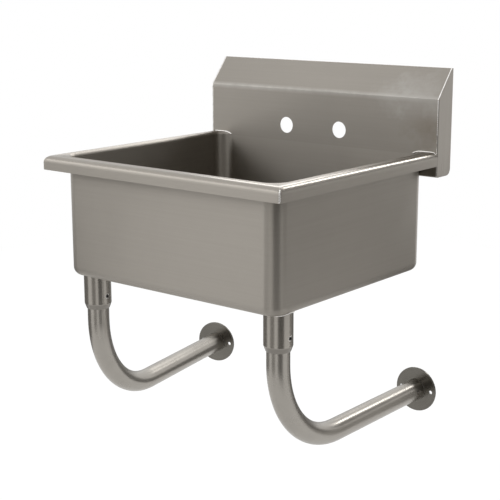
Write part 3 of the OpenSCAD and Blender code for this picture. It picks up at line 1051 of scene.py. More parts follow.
@dataclass
class Bowl:
    """Coved bowl with its rolled, mitred rim, drawn as one sheet of steel."""

    half_w: float = 194.0
    front: float = -390.0
    back: float = -38.0
    corner: float = 22.0
    rim_z: float = -78.0
    rim_w: float = 22.0
    rim_h: float = 20.0
    roll: float = 5.0
    shoulder: float = 9.0
    floor_z: float = -254.0
    cove: float = 12.0
    fall: float = 4.0
    drain_y: float = -184.0
    seat: float = 58.0
    seat_drop: float = 3.0
    hole: float = 44.5
    sheet: float = 1.2
    ground: float = 3.4
    mitre_from: float = 4.0
    mitre_bead: Bead = Bead(1.8, 3.0, 0.08)
    mitre_inset: float = 1.85

    def stations(self) -> list[Station]:
        """Sections all round the bowl, from the middle of the front, turning to the right.

        Returns:
            The stations in order.
        """
        x, low, high = self.half_w - self.corner, self.front + self.corner, self.back - self.corner
        corners = ((x, low, -90.0), (x, high, 0.0), (-x, high, 90.0), (-x, low, 180.0))
        made: list[Station] = []
        for i, (cx, cy, first) in enumerate(corners):
            for angle in quarter(12):
                turn, across, along = math.degrees(angle), math.cos(angle), math.sin(angle)
                mitre, has_rim = max(across, along), True
                if i == 1:
                    mitre, has_rim = max(across, 1e-3), turn < 76
                if i == 2:
                    mitre, has_rim = max(along, 1e-3), turn > 14
                made.append(Station(cx, cy, first + turn, mitre, has_rim))
            nx, ny, _ = corners[(i + 1) % 4]
            parts = 16 if i % 2 else 14
            for step in range(1, parts):
                part = step / parts
                made.append(Station(cx + (nx - cx) * part, cy + (ny - cy) * part,
                                    first + 90.0, 1.0, i != 1))
        return made

    def shell_column(self, station: Station) -> list[Vector]:
        """Points from the drain's hole over floor and cove up to the roll.

        Args:
            station: Where the section is taken.

        Returns:
            The points in order.
        """
        drain = Vector((0.0, self.drain_y, 0.0))
        ring = station.point(self.corner - self.cove, self.floor_z)
        way = ring - drain
        way.z = 0
        way.normalize()
        low = self.floor_z - self.fall
        deep = low - self.seat_drop
        rings = ((self.hole, deep), (self.seat - 2.2, deep), (self.seat - 1.0, deep + 0.35),
                 (self.seat - 0.6, deep + 1.2), (self.seat - 0.5, low - 0.9),
                 (self.seat - 0.1, low - 0.25), (self.seat + 1.2, low + 0.02))
        line = [drain + way * r + Vector((0, 0, z)) for r, z in rings]
        edge = line[-1]
        for step in range(1, 9):
            part = step / 9
            spot = edge.lerp(ring, part)
            ease = part * part * (3 - 2 * part)
            spot.z = edge.z + (ring.z - edge.z) * (0.6 * part + 0.4 * ease)
            line.append(spot)
        for turn in reversed(quarter(8)):
            line.append(station.point(self.corner - self.cove + self.cove * math.cos(turn),
                                      self.floor_z + self.cove - self.cove * math.sin(turn)))
        top, foot = self.rim_z - self.roll, self.floor_z + self.cove
        return line + [station.point(self.corner, foot + (top - foot) * k)
                       for k in (0.02, 0.3, 0.6, 0.85, 0.98, 1)]

    def rim_column(self, station: Station) -> list[Vector]:
        """Points from the roll over the rim and down its outer leg.

        Args:
            station: Where the section is taken.

        Returns:
            The points in order, without the one shared with the wall.
        """
        wide = self.corner + self.rim_w
        line = []
        for turn in quarter(8)[1:]:
            line.append(station.point(self.corner + self.roll * (1 - math.cos(turn)),
                                      self.rim_z - self.roll + self.roll * math.sin(turn)))
        inner, outer = self.corner + self.roll, (wide - self.shoulder) / station.mitre
        line += [station.point(inner + (outer - inner) * k, self.rim_z) for k in (0.08, 0.5, 0.92)]
        for turn in quarter(10):
            inset = self.shoulder * (1 - math.sin(turn))
            line.append(station.point((wide - inset) / station.mitre,
                                      self.rim_z - self.shoulder * (1 - math.cos(turn))))
        leg_top, foot = self.rim_z - self.shoulder, self.rim_z - self.rim_h
        return line + [station.point(wide / station.mitre, leg_top + (foot - leg_top) * k)
                       for k in (0.1, 0.9, 1)]

    def sheet_mesh(self) -> bpy.types.Object:
        """Weaves the stations into one sheet, trims it at the backsplash and thickens it.

        Returns:
            The bowl's object.
        """
        stations = self.stations()
        shape = bmesh.new()
        layer = shape.loops.layers.uv.new("UVMap")
        shell = [self.shell_column(s) for s in stations]
        rim = [self.rim_column(s) if s.has_rim else [] for s in stations]
        u_run = lengths([*(column[-1] for column in shell), shell[0][-1]])
        v_run = lengths([*shell[-5], *rim[-5]])
        verts = [[shape.verts.new(p * MM) for p in (*a, *b)] for a, b in zip(shell, rim)]
        wall_rows = len(shell[0])
        roll_v = v_run[wall_rows - 1]
        for i, near in enumerate(verts):
            far = verts[(i + 1) % len(verts)]
            for j in range(min(len(near), len(far)) - 1):
                face = shape.faces.new((near[j], far[j], far[j + 1], near[j + 1]))
                face.material_index = 1 if j >= wall_rows - 1 else 0
                spots = ((i, j), (i + 1, j), (i + 1, j + 1), (i, j + 1))
                for loop, (a, b) in zip(face.loops, spots):
                    loop[layer].uv = (u_run[a] * MM, (v_run[b] - roll_v) * MM)
        over = [part for parts in (shape.faces, shape.edges, shape.verts) for part in parts
                if self.is_over(part)]
        bmesh.ops.bisect_plane(shape, geom=over, plane_co=(0, self.back * MM, 0),
                               plane_no=(0, 1, 0), clear_outer=True, dist=1e-7)
        self.ease_mitres(shape)
        bmesh.ops.remove_doubles(shape, verts=shape.verts, dist=1e-7)
        bmesh.ops.reverse_faces(shape, faces=shape.faces)
        mesh = bpy.data.meshes.new("bowl_sheet")
        shape.to_mesh(mesh)
        shape.free()
        return with_wall(new_piece("bowl_sheet", mesh), self.sheet)

    @staticmethod
    def is_over(part: bmesh.types.BMFace | bmesh.types.BMEdge | bmesh.types.BMVert) -> bool:
        """Whether a part of the sheet belongs to what lies over the roll."""
        faces = [part] if isinstance(part, bmesh.types.BMFace) else part.link_faces
        return any(face.material_index for face in faces)

    def ease_mitres(self, shape: bmesh.types.BMesh) -> None:
        """Rounds the welded and ground mitre of the two front corners.

        Args:
            shape: The sheet before it has its thickness.
        """
        ridge = []
        for edge in shape.edges:
            if len(edge.link_faces) != 2:
                continue
            ends = [v.co / MM for v in edge.verts]
            on_mitre = all(abs((abs(p.x) - self.half_w) + (p.y - self.front)) < 0.01 for p in ends)
            outside = min(abs(p.x) for p in ends) > self.half_w + self.mitre_from
            if on_mitre and outside and edge.calc_face_angle(0.0) > 0.15:
                ridge.append(edge)
        bmesh.ops.bevel(shape, geom=ridge, offset=self.ground * MM, offset_type="OFFSET",
                        segments=4, profile=0.5, affect="EDGES", clamp_overlap=True)

    def mitre_line(self, side: Side) -> list[Vector]:
        """Line of the weld down a front corner of the rim, from the shoulder to the foot.

        Args:
            side: Which corner.

        Returns:
            Points in millimetres.
        """
        inset, wide = self.mitre_inset, self.half_w + self.rim_w
        drops = [(self.shoulder * (1 - math.sin(a)), self.shoulder * (1 - math.cos(a)))
                 for a in quarter(10)[2:]]
        drops.append((0.0, self.rim_h - 0.6))
        return [Vector((side.value * (wide - inset - back), self.front - self.rim_w + inset + back,
                        self.rim_z - drop - inset * max(0.0, 1 - drop / self.shoulder)))
                for back, drop in drops]

    def build(self, finishes: Finishes, bead: Recipe) -> bpy.types.Object:
        """Builds and dresses the bowl.

        Args:
            finishes: The sink's materials.
            bead: Recipe of a weld bead.

        Returns:
            The bowl, for what stands against it.
        """
        for side in Side:
            weld = self.mitre_bead.lay(bead, f"mitre_weld_{side.label}", self.mitre_line(side))
            finishes.dress(weld, "sink", "bowl_steel", finish="weld")
        return finishes.dress(self.sheet_mesh(), "sink", "bowl_steel", "bowl")


@dataclass
class Backsplash:
    """Hollow folded backsplash with its end caps and the welds to the rim."""

    half_w: float = 216.0
    depth: float = 38.0
    top_z: float = 42.0
    bend_z: float = 0.0
    ledge: float = 3.0
    foot_z: float = -115.0
    back_turn: float = 14.0
    lip_z: float = 16.0
    sheet: float = 1.2
    fold: float = 3.0
    bend_fold: float = 4.2
    cap_corner: float = 10.0
    tap_x: tuple[float, float] = (-60.8, 40.8)
    tap_z: float = -58.0
    tap_r: float = 12.7
    roll_z: float = -83.0
    joint_half: float = 178.5
    rim_bead: Bead = Bead(1.2, 2.4, 0.16)
    rim_inset: float = 1.5
    seam_bead: Bead = Bead(1.5, 3.0, 0.03)
    seam_inset: float = 1.65

    def front_sheet(self) -> bpy.types.Object:
        """Folds the sheet and cuts the tap holes and the place of the bowl.

        Returns:
            The folded sheet.
        """
        line = rounded([(0, self.lip_z, 0), (0, self.top_z, 1.5),
                        (-self.ledge, self.top_z, 1.3), (-self.depth, self.bend_z, self.bend_fold),
                        (-self.depth, self.foot_z, self.fold),
                        (self.back_turn - self.depth, self.foot_z, 0)], False, 7)
        half = self.half_w - self.sheet
        piece = with_wall(folded("backsplash_sheet", line, half, -half), self.sheet)
        holes = [rod(self.tap_r, 6, at(x, -self.depth - 3, self.tap_z, BACKWARDS), 72)
                 for x in self.tap_x]
        near, far, foot = -self.depth - 2, -self.depth + self.sheet, self.foot_z - 5
        box = folded("cutter", [(near, self.roll_z), (far, self.roll_z), (far, foot), (near, foot)],
                     -self.joint_half, self.joint_half, True)
        return cut_away(piece, [*holes, box])

    def cap(self, side: Side) -> bpy.types.Object:
        """Cuts an end cap, with its outer edge ground round.

        Args:
            side: Which end it closes.

        Returns:
            The cap.
        """
        line = rounded([(0, self.top_z, 0), (-self.ledge, self.top_z, 1.5),
                        (-self.depth, self.bend_z, self.bend_fold),
                        (-self.depth, self.foot_z, self.fold),
                        (0, self.foot_z, self.cap_corner)], True, 7)
        outer, inner = self.half_w, self.half_w - self.sheet
        ground = 0.8
        middle = Vector((-self.depth * 0.45, (self.top_z + self.foot_z) / 2))
        rows = []
        for inset, x in ((0.0, inner), (0.0, outer - ground), (0.10, outer - 0.45),
                         (0.35, outer - 0.15), (ground, outer)):
            row = []
            for i, (y, z) in enumerate(line):
                before, after = Vector(line[i - 1]), Vector(line[(i + 1) % len(line)])
                along = (after - before).normalized()
                inward = Vector((-along.y, along.x))
                if inward.dot(middle - Vector((y, z))) < 0:
                    inward.negate()
                spot = Vector((y, z)) + inward * inset
                row.append(Vector((side.value * x, spot.x, spot.y)))
            rows.append(row)
        piece = woven(f"end_cap_{side.label}_plate", rows, True, False)
        mesh = piece.data
        layer = mesh.uv_layers["UVMap"]
        for loop in mesh.loops:
            spot = mesh.vertices[loop.vertex_index].co
            layer.data[loop.index].uv = (spot.y + spot.x * 0.3, spot.z)
        return piece

    def joint_line(self, side: Side) -> list[Vector]:
        """Line on which the rim meets the backsplash, from the roll to the outer leg.

        Args:
            side: Which end of the sink.

        Returns:
            Points in millimetres.
        """
        rim = Bowl()
        axis_x, roll_z, wide = rim.half_w - rim.corner, rim.rim_z - rim.roll, rim.roll - 0.25
        line = []
        for step in range(9):
            reach = rim.corner + 0.25 + step * wide / 8
            drop = math.sqrt(max(rim.roll ** 2 - (rim.corner + rim.roll - reach) ** 2, 0))
            line.append((axis_x + math.sqrt(reach ** 2 - rim.corner ** 2), roll_z + drop))
        line += [(x, rim.rim_z) for x in (192, 197, 202)]
        line += arc((self.half_w - rim.shoulder, rim.rim_z - rim.shoulder), rim.shoulder, 90, 12, 8)
        narrow, from_x = 16, 200
        return [Vector((side.value * (x - self.rim_inset * max(0.3, (x - from_x) / narrow)),
                        -self.depth - 0.25, z - 0.07)) for x, z in line]

    def seam_line(self, side: Side) -> list[Vector]:
        """Line of the ground weld between the folded sheet and an end cap.

        Args:
            side: Which end of the sink.

        Returns:
            Points in millimetres.
        """
        line = rounded([(0.4 - self.ledge, self.top_z - 1.1, 0),
                        (0.9 - self.depth, self.bend_z - 0.3, self.bend_fold),
                        (0.9 - self.depth, self.foot_z + 1.4, 0)], False, 6)
        return [Vector((side.value * (self.half_w - self.seam_inset), y, z)) for y, z in line]

    def build(self, finishes: Finishes, bead: Recipe) -> None:
        """Builds and dresses the backsplash.

        Args:
            finishes: The sink's materials.
            bead: Recipe of a weld bead.
        """
        finishes.dress(self.front_sheet(), "sink", "splash_steel", "backsplash")
        for side in Side:
            finishes.dress(self.cap(side), "sink", "cap_steel", f"end_cap_{side.label}")
            for name, line, size in (("rim_weld", self.joint_line(side), self.rim_bead),
                                     ("seam_weld", self.seam_line(side), self.seam_bead)):
                weld = size.lay(bead, f"{name}_{side.label}", line)
                finishes.dress(weld, "sink", "bowl_steel", finish="weld")


@dataclass
class WallHanger:
    """Joggled strip that the backsplash's lip hooks behind."""

    length: float = 320.0
    thickness: float = 2.0
    plate_z: float = 16.0
    step_d: float = 3.6
    upstand: float = 14.0
    hole_x: float = 130.0
    hole_r: float = 3.5

    def build(self, finishes: Finishes) -> None:
        """Builds and dresses the hanger.

        Args:
            finishes: The sink's materials.
        """
        t, top, deep = self.thickness, self.plate_z, self.step_d
        tip = top + self.upstand
        line = rounded([(0, -top, 0.3), (0, top, 1.6), (t - deep, top, 0.05), (t - deep, tip, 0.5),
                        (-deep, tip, 0.5), (-deep, top - t, 1.4), (-t, top - t, 0.3),
                        (-t, -top, 0.3)], True, 4)
        half = self.length / 2
        piece = folded("hanger_strip", line, -half, half, True)
        holes = [rod(self.hole_r, 8, at(x, -5, 0, BACKWARDS)) for x in (-self.hole_x, self.hole_x)]
        cut_away(piece, holes)
        finishes.dress(eased(piece, 0.25, 2, 60), "sink", "hanger_zinc", "wall_hanger")


# ---------------------------------------------------------------- sockets and supports


@dataclass
class LegSocket:
    """Turned socket under a front corner of the bowl, with its set screw."""

    side: Side
    x: float = 170.0
    y: float = -355.0
    radius: float = 20.0
    bore: float = 16.05
    lip: float = 17.05
    foot_z: float = -308.2
    taper: float = 8.0
    bore_top: float = -262.2
    top_z: float = -255.3
    look_from: float = -300.0
    screw_z: float = -288.2
    screw_r: float = 3.0
    screw_from: float = 16.2
    screw_to: float = 20.4
    hexagon: float = 3.0
    drill_from: float = 12.0
    drill_l: float = 12.0
    joint_bead: Bead = Bead(1.0, 2.2, 0.14)
    screw_bead: Bead = Bead(0.34, 0.748, 0.0)

    def foot(self) -> Vector:
        """Point on the socket's axis at the height of the CAD's zero."""
        return Vector((self.side.value * self.x, self.y, 0))

    def body(self, bowl: BVHTree) -> tuple[bpy.types.Object, list[Vector]]:
        """Turns the socket up to the bowl's underside.

        Args:
            bowl: The bowl's surface.

        Returns:
            The socket, and the line on which it meets the bowl.
        """
        low, high = self.foot_z, self.foot_z + self.taper
        outer = rounded([(self.bore, low, 0.3), (self.lip, low, 0.45), (self.radius, high, 2.5),
                         (self.radius, high + 30, 0)], False, 5)
        rows, joint, foot = [], [], self.foot()
        for turn in turns(96):
            way = Vector((math.cos(turn), math.sin(turn), 0))
            rim = foot + way * self.radius
            hit = bowl.ray_cast(Vector((rim.x, rim.y, self.look_from)) * MM, Vector((0, 0, 1)))[0]
            top = hit.z / MM if hit else self.top_z
            joint.append(Vector((rim.x, rim.y, top)))
            row = [foot + way * r + Vector((0, 0, z)) for r, z in outer]
            inside = foot + Vector((0, 0, self.bore_top))
            row += [joint[-1] - Vector((0, 0, 8)), joint[-1].copy(),
                    foot + Vector((0, 0, self.top_z)), inside, inside + way * self.bore]
            rows.append(row)
        return woven(f"socket_{self.side.label}_body", rows, True, True), joint

    def screw(self) -> bpy.types.Object:
        """Makes the set screw, with its hexagon socket and a cut thread.

        Returns:
            The screw.
        """
        length, half, hexagon = self.screw_to - self.screw_from, self.hexagon / 2, Form.HEXAGON
        profile: list[Ring] = [(0, 0), (1.6, 0), (2.4, 0.8)]
        for step in range(4):
            z = 1.0 + step * 0.7
            profile += [(2.6, z), (2.98, z + 0.3)]
        profile += [(2.98, length - 0.35), (2.7, length), (half + 0.2, length, hexagon),
                    (half, length - 0.25, hexagon), (half, length - 1.9, hexagon),
                    (0, length - 2.3)]
        piece = turned(f"screw_{self.side.label}_hex", profile, 48, None, False)
        return moved(piece, at(self.foot().x + self.screw_from, self.y, self.screw_z, ACROSS))

    def build(self, finishes: Finishes, bowl: BVHTree, bead: Recipe) -> None:
        """Builds and dresses the socket and its screw.

        Args:
            finishes: The sink's materials.
            bowl: The bowl's surface.
            bead: Recipe of a weld bead.
        """
        name, foot = self.side.label, self.foot()
        piece, joint = self.body(bowl)
        drill = at(foot.x + self.drill_from, foot.y, self.screw_z, ACROSS)
        cut_away(piece, [rod(self.screw_r + 0.05, self.drill_l, drill)])
        finishes.dress(piece, "sink", "socket_steel", f"leg_socket_{name}")
        finishes.dress(self.screw(), "sink", "screw_black", f"set_screw_{name}")
        line = [p + (Vector((p.x, p.y, 0)) - foot).normalized() * 0.25 - Vector((0, 0, 0.35))
                for p in joint]
        # A thin bright ring round the screw's hole, in the weld's light steel: partly a painted
        # highlight
        edge, reach = [], self.screw_r + 0.2
        for turn in turns(40):
            y = reach * math.cos(turn)
            edge.append(foot + Vector((math.sqrt(self.radius ** 2 - y ** 2) - 0.12, y,
                                       self.screw_z + reach * math.sin(turn))))
        for label, path, size in (("socket_weld", line, self.joint_bead),
                                  ("screw_edge", edge, self.screw_bead)):
            weld = size.lay(bead, f"{label}_{name}", path, True)
            finishes.dress(weld, "sink", "socket_steel", finish="weld")


@dataclass
class Support:
    """Bent tube with its wall flange, in its socket's own frame before it is placed."""

    side: Side
    x: float = 170.0
    y: float = -355.0
    swing: float = 0.0
    radius: float = 16.0
    wall: float = 1.5
    top_z: float = -263.2
    level_z: float = -459.2
    bend: float = 132.0
    flange_at: float = 352.0
    flange_t: float = 3.0
    flange_r: float = 35.0
    hole_x: float = 26.5
    hole_r: float = 3.0
    flange_bead: Bead = Bead(0.9, 1.9, 0.12)

    def place(self) -> Matrix:
        """Matrix from the support's own frame to the sink's."""
        turn = Matrix.Rotation(math.radians(self.swing), 4, "Z")
        return at(self.side.value * self.x, self.y, 0, turn)

    def path(self) -> list[Vector]:
        """Middle line of the tube, from its socket to its flange.

        Returns:
            Points in millimetres.
        """
        bend_z = self.level_z + self.bend
        line = [Vector((0, 0, self.top_z)), Vector((0, 0, (self.top_z + bend_z) / 2))]
        line += [Vector((0, self.bend - self.bend * math.cos(math.radians(a)),
                         bend_z - self.bend * math.sin(math.radians(a)))) for a in range(0, 91, 3)]
        span = self.flange_at - self.bend
        line += [Vector((0, self.bend + span * k, self.level_z)) for k in (0.25, 0.5, 0.75, 1)]
        return line

    def tube(self, recipe: Recipe) -> bpy.types.Object:
        """Sweeps the tube and joins its outside to its bore at both ends.

        Args:
            recipe: Recipe of a tube.

        Returns:
            The tube.
        """
        piece = recipe.bake(f"tube_{self.side.label}_swept", line_mesh(self.path()),
                            {"Outside": self.radius * MM, "Bore": (self.radius - self.wall) * MM})
        shape = bmesh.new()
        shape.from_mesh(piece.data)
        open_edges = [e for e in shape.edges if e.is_boundary]
        for upper in (True, False):
            ends = [e for e in open_edges if (e.verts[0].co.z > (self.top_z - 1) * MM) is upper]
            bmesh.ops.bridge_loops(shape, edges=ends)
        bmesh.ops.recalc_face_normals(shape, faces=shape.faces)
        shape.to_mesh(piece.data)
        shape.free()
        return piece

    def flange(self) -> bpy.types.Object:
        """Turns the wall flange, with two screw holes.

        Returns:
            The flange.
        """
        bore, t = self.radius - self.wall, self.flange_t
        line = rounded([(bore, 0, 0), (bore, t, 0.4), (self.flange_r, t, 0.5),
                        (self.flange_r, 0, 0.9)], True, 4)
        piece = turned(f"flange_{self.side.label}_plate", line, 96)
        cut_away(piece, [rod(self.hole_r, 8, at(x, 0, -2)) for x in (-self.hole_x, self.hole_x)])
        eased(piece, 0.3, 2, 60)
        return moved(piece, at(0, self.flange_at, self.level_z, BACKWARDS))

    def build(self, finishes: Finishes, recipe: Recipe, bead: Recipe) -> None:
        """Builds and dresses the tube, its flange and the weld between them.

        Args:
            finishes: The sink's materials.
            recipe: Recipe of a tube.
            bead: Recipe of a weld bead.
        """
        name, place = self.side.label, self.place()
        body = f"support_{name}"
        tube = with_uv(moved(self.tube(recipe), place))
        finishes.dress(tube, body, "tube_steel", f"support_tube_{name}")
        finishes.dress(moved(self.flange(), place), body, "flange_steel", f"wall_flange_{name}")
        reach = self.radius + 0.4
        ring = [Vector((reach * math.cos(turn), self.flange_at - 0.35,
                        self.level_z + reach * math.sin(turn))) for turn in turns(64)]
        weld = self.flange_bead.lay(bead, f"flange_weld_{name}", ring, True)
        finishes.dress(moved(weld, place), body, "flange_steel")


# ---------------------------------------------------------------- drain


@dataclass
class Drain:
    """Strainer body with its gasket, friction ring and lock nut."""

    y: float = -184.0
    seat_z: float = -261.0
    flange_r: float = 56.0
    flange_t: float = 2.4
    cup_r: float = 43.5
    cup_z: float = -293.0
    wall: float = 1.6
    ledge_r: float = 45.5
    ledge_z: float = -260.0
    outlet_r: float = 23.5
    outlet_z: float = -309.0
    throat_r: float = 21.9
    seal_r: float = 55.0
    nut_top: float = -266.2
    nut_h: float = 9.0
    nut_r: float = 49.5
    lugs: int = 6
    lug_w: float = 6.0
    nut_flange_t: float = 2.0
    gasket_z: float = -265.2
    gasket_t: float = 3.0
    friction_t: float = 1.0
    thread_cut: float = 0.55
    thread_ridge: float = 0.44
    cup_turns: float = 14.0
    cup_rise: float = 21.0
    outlet_turns: float = 6.0
    outlet_rise: float = 9.0

    def strainer(self, thread: Recipe) -> bpy.types.Object:
        """Turns the strainer body and winds its two threads.

        Args:
            thread: Recipe of a thread.

        Returns:
            The strainer body.
        """
        inner, top = self.cup_r - self.wall, self.seat_z + self.flange_t
        cup, out, seat, base = self.cup_r, self.outlet_r, self.seat_z, self.cup_z
        cut, under, end = self.thread_cut, base - self.wall, self.outlet_z
        line = rounded([
            (self.ledge_r, top, 0.25), (self.flange_r - 0.9, top, 2.5),
            (self.flange_r, seat + 0.9, 0.4), (self.flange_r, seat, 0.2), (cup, seat, 0),
            (cup, seat - 1.5, 0), (cup - cut, seat - 2, 0), (cup - cut, seat - 24, 0),
            (cup, seat - 24.5, 0), (cup, base + 4, 2.0), (cup - 5, under, 2.0),
            (out + 1.5, under, 0.4), (out, base - 4, 0.4), (out - cut, base - 5, 0),
            (out - cut, end + 0.8, 0), (out - 1, end, 0.1), (self.throat_r, end, 0.2),
            (self.throat_r, base - 2, 0.3), (self.throat_r + 3, base, 0.4),
            (inner - 5, base, 2.0), (inner, base + 5, 2.0), (inner, self.ledge_z, 0.2),
            (self.ledge_r, self.ledge_z, 0.15)], True, 4)
        body = turned("strainer_turned", line, 112)
        wind = []
        for radius, low, wound, rise in (
                (cup, seat - 23.5, self.cup_turns, self.cup_rise),
                (out, end + 1.6, self.outlet_turns, self.outlet_rise)):
            piece = thread.bake("thread", bpy.data.meshes.new("empty"), {
                "Radius": (radius - 0.45) * MM, "Turns": wound, "Rise": rise * MM,
                "Ridge": self.thread_ridge * MM})
            wind.append(with_uv(moved(piece, at(0, 0, low))))
        return merged("strainer_turned", body, *wind)

    def ring(self, name: str, low: float, height: float, edge: float) -> bpy.types.Object:
        """Turns a flat ring that goes round the cup.

        Args:
            name: Name of the piece.
            low: Height of its underside.
            height: Its thickness.
            edge: Radius of its edges.

        Returns:
            The ring.
        """
        bore = self.cup_r + 0.1
        outer, top = self.seal_r, low + height
        line = rounded([(bore, low, edge), (outer, low, edge), (outer, top, edge),
                        (bore, top, edge)], True, 4)
        return turned(name, line, 96)

    def nut(self, recipe: Recipe) -> bpy.types.Object:
        """Makes the lock nut: a flanged ring with its lugs set round it.

        Args:
            recipe: Recipe of the lugs.

        Returns:
            The nut.
        """
        bore, low = self.cup_r + 0.1, self.nut_top - self.nut_h
        shelf = self.nut_top - self.nut_flange_t
        line = rounded([(bore, low, 0.6), (self.nut_r, low, 0.8), (self.nut_r, shelf, 0.7),
                        (self.seal_r, shelf, 0.4), (self.seal_r, self.nut_top, 0.4),
                        (bore, self.nut_top, 0.3)], True, 4)
        ring = turned("lock_nut_ring", line, 96)
        mesh = ring.data
        bpy.data.objects.remove(ring)
        piece = recipe.bake("lock_nut_cast", mesh, {
            "Count": self.lugs, "Reach": (self.nut_r + self.seal_r) / 2 * MM,
            "Long": (self.seal_r - self.nut_r + 1) * MM, "Wide": self.lug_w * MM,
            "High": (self.nut_h - 0.6) * MM, "Level": (low + self.nut_h / 2) * MM})
        return eased(piece, 0.5, 2, 70)

    def build(self, finishes: Finishes, thread: Recipe, lug: Recipe) -> None:
        """Builds and dresses the drain.

        Args:
            finishes: The sink's materials.
            thread: Recipe of a thread.
            lug: Recipe of the nut's lugs.
        """
        for slot, node, make, sizes in (
                ("drain_steel", "strainer_body", self.strainer, (thread,)),
                ("gasket_rubber", "drain_gasket", self.ring,
                 ("gasket_moulded", self.gasket_z, self.gasket_t, 0.7)),
                ("friction_fibre", "friction_ring", self.ring,
                 ("friction_punched", self.nut_top, self.friction_t, 0.12)),
                ("nut_zinc", "lock_nut", self.nut, (lug,))):
            finishes.dress(moved(make(*sizes), at(0, self.y, 0)), "sink", slot, node)


@dataclass
class Basket:
    """Perforated basket with its post, clip, rubber stopper and nut."""

    y: float = -184.0
    rim_r: float = 44.9
    rim_z: float = -259.0
    top_r: float = 37.9
    floor_r: float = 32.9
    floor_z: float = -282.0
    sheet: float = 1.0
    hub_r: float = 7.0
    hub_h: float = 5.0
    post_r: float = 3.0
    knob_z: float = -274.0
    knob_r: float = 9.0
    knob_h: float = 8.0
    foot_z: float = -298.2
    stopper_r: float = 23.9
    stopper_z: float = -292.7
    stopper_t: float = 4.0
    nut_w: float = 10.0
    nut_h: float = 4.0
    clip_sweep: tuple[float, float] = (14.0, 346.0)
    floor_holes: int = 14
    hole_r: float = 2.0
    ring_out: float = 5.0
    ring_in: float = 3.0
    slots: int = 16
    slot_ring: float = 36.9
    slot_half: float = 1.25
    slot_h: float = 8.5
    slot_rise: float = 11.5

    def cup(self, recipe: Recipe) -> bpy.types.Object:
        """Presses the cup and punches its holes and slots.

        Args:
            recipe: Recipe of the perforation.

        Returns:
            The basket.
        """
        t, top, low = self.sheet, self.rim_z, self.floor_z
        bore = self.post_r + 0.05
        line = rounded([
            (bore, low, 0.2), (self.floor_r, low, 1.6), (self.top_r, top - t, 0.6),
            (self.rim_r, top - t, 0.35), (self.rim_r, top, 0.45), (self.top_r - t, top, 1.5),
            (self.floor_r - t, low + t, 1.2),
            (self.hub_r, low + t, 0.4), (self.hub_r, low + t + self.hub_h, 0.5),
            (bore, low + t + self.hub_h, 0.2)], True, 4)
        blank = turned("basket_blank", line, 112)
        mesh = blank.data
        bpy.data.objects.remove(blank)
        ring = (self.hub_r + self.floor_r) / 2
        return recipe.bake("basket_pressed", mesh, {
            "Floor Holes": self.floor_holes, "Outer Ring": (ring + self.ring_out) * MM,
            "Inner Ring": (ring - self.ring_in) * MM, "Hole": self.hole_r * MM,
            "Floor": (low + t / 2) * MM, "Slots": self.slots, "Slot Ring": self.slot_ring * MM,
            "Slot Wide": self.slot_half * MM, "Slot High": self.slot_h * MM,
            "Slot Level": (low + self.slot_rise) * MM})

    def post(self) -> bpy.types.Object:
        """Turns the post and its domed knob.

        Returns:
            The post.
        """
        k, r, z, post, foot = self.knob_h, self.knob_r, self.knob_z, self.post_r, self.foot_z
        line = rounded([
            (0, foot, 0), (post - 0.4, foot, 0.1), (post, foot + 0.5, 0.2), (post, z, 0.1),
            (r / 1.5, z, 0.3), (r - 1, z + k * 0.45, 0.6), (r, z + k * 0.6, 0.5),
            (r - 0.6, z + k * 0.8, 1.0), (r - 2.5, z + k * 0.95, 3.0), (0, z + k, 0)], False, 5)
        return turned("post_turned", line, 72, None, False)

    def clip(self) -> bpy.types.Object:
        """Bends the open spring clip round the post.

        Returns:
            The clip.
        """
        low = self.floor_z + self.sheet + self.hub_h
        inner, outer = self.post_r + 0.3, self.hub_r - 1
        ring = rounded([(inner, low, 0.2), (outer, low, 0.3), (outer, low + 1, 0.3),
                        (inner, low + 1, 0.2)], True, 3)
        return turned("clip_spring", ring, 60, self.clip_sweep)

    def stopper(self) -> bpy.types.Object:
        """Turns the rubber disc, with a shallow hollow in its top.

        Returns:
            The stopper.
        """
        low, r, post = self.stopper_z, self.stopper_r, self.post_r
        top = low + self.stopper_t
        hollow = top - 0.6
        disc = rounded([(post, low, 0), (r - 1, low, 0.4), (r, low + 1, 0.4), (r, top, 0.7),
                        (r - 7, top, 0.5), (r - 8, hollow, 0.4), (post + 4, hollow, 0.4),
                        (post + 3, top, 0.4), (post, top, 0)], True, 4)
        return turned("stopper_moulded", disc, 96)

    def nut(self) -> bpy.types.Object:
        """Turns the six-sided nut under the stopper.

        Returns:
            The nut.
        """
        half, top, foot = self.nut_w / 2, self.stopper_z, self.stopper_z - self.nut_h
        hexagon = Form.HEXAGON
        return turned("stem_nut_turned", [
            (self.post_r, foot), (half - 0.2, foot), (half, foot + 0.5, hexagon),
            (half, top - 0.5, hexagon), (half - 0.2, top), (self.post_r, top)], 96)

    def build(self, finishes: Finishes, recipe: Recipe) -> None:
        """Builds and dresses the basket and its stopper.

        Args:
            finishes: The sink's materials.
            recipe: Recipe of the perforation.
        """
        for piece, body, slot, node in (
                (self.cup(recipe), "basket", "basket_steel", "strainer_basket"),
                (self.clip(), "basket", "clip_steel", "post_clip"),
                (self.post(), "stopper", "post_steel", "stopper_post"),
                (self.stopper(), "stopper", "stopper_rubber", "basket_stopper"),
                (self.nut(), "stopper", "stem_nut_brass", "stem_nut")):
            finishes.dress(with_uv(moved(piece, at(0, self.y, 0))), body, slot, node)


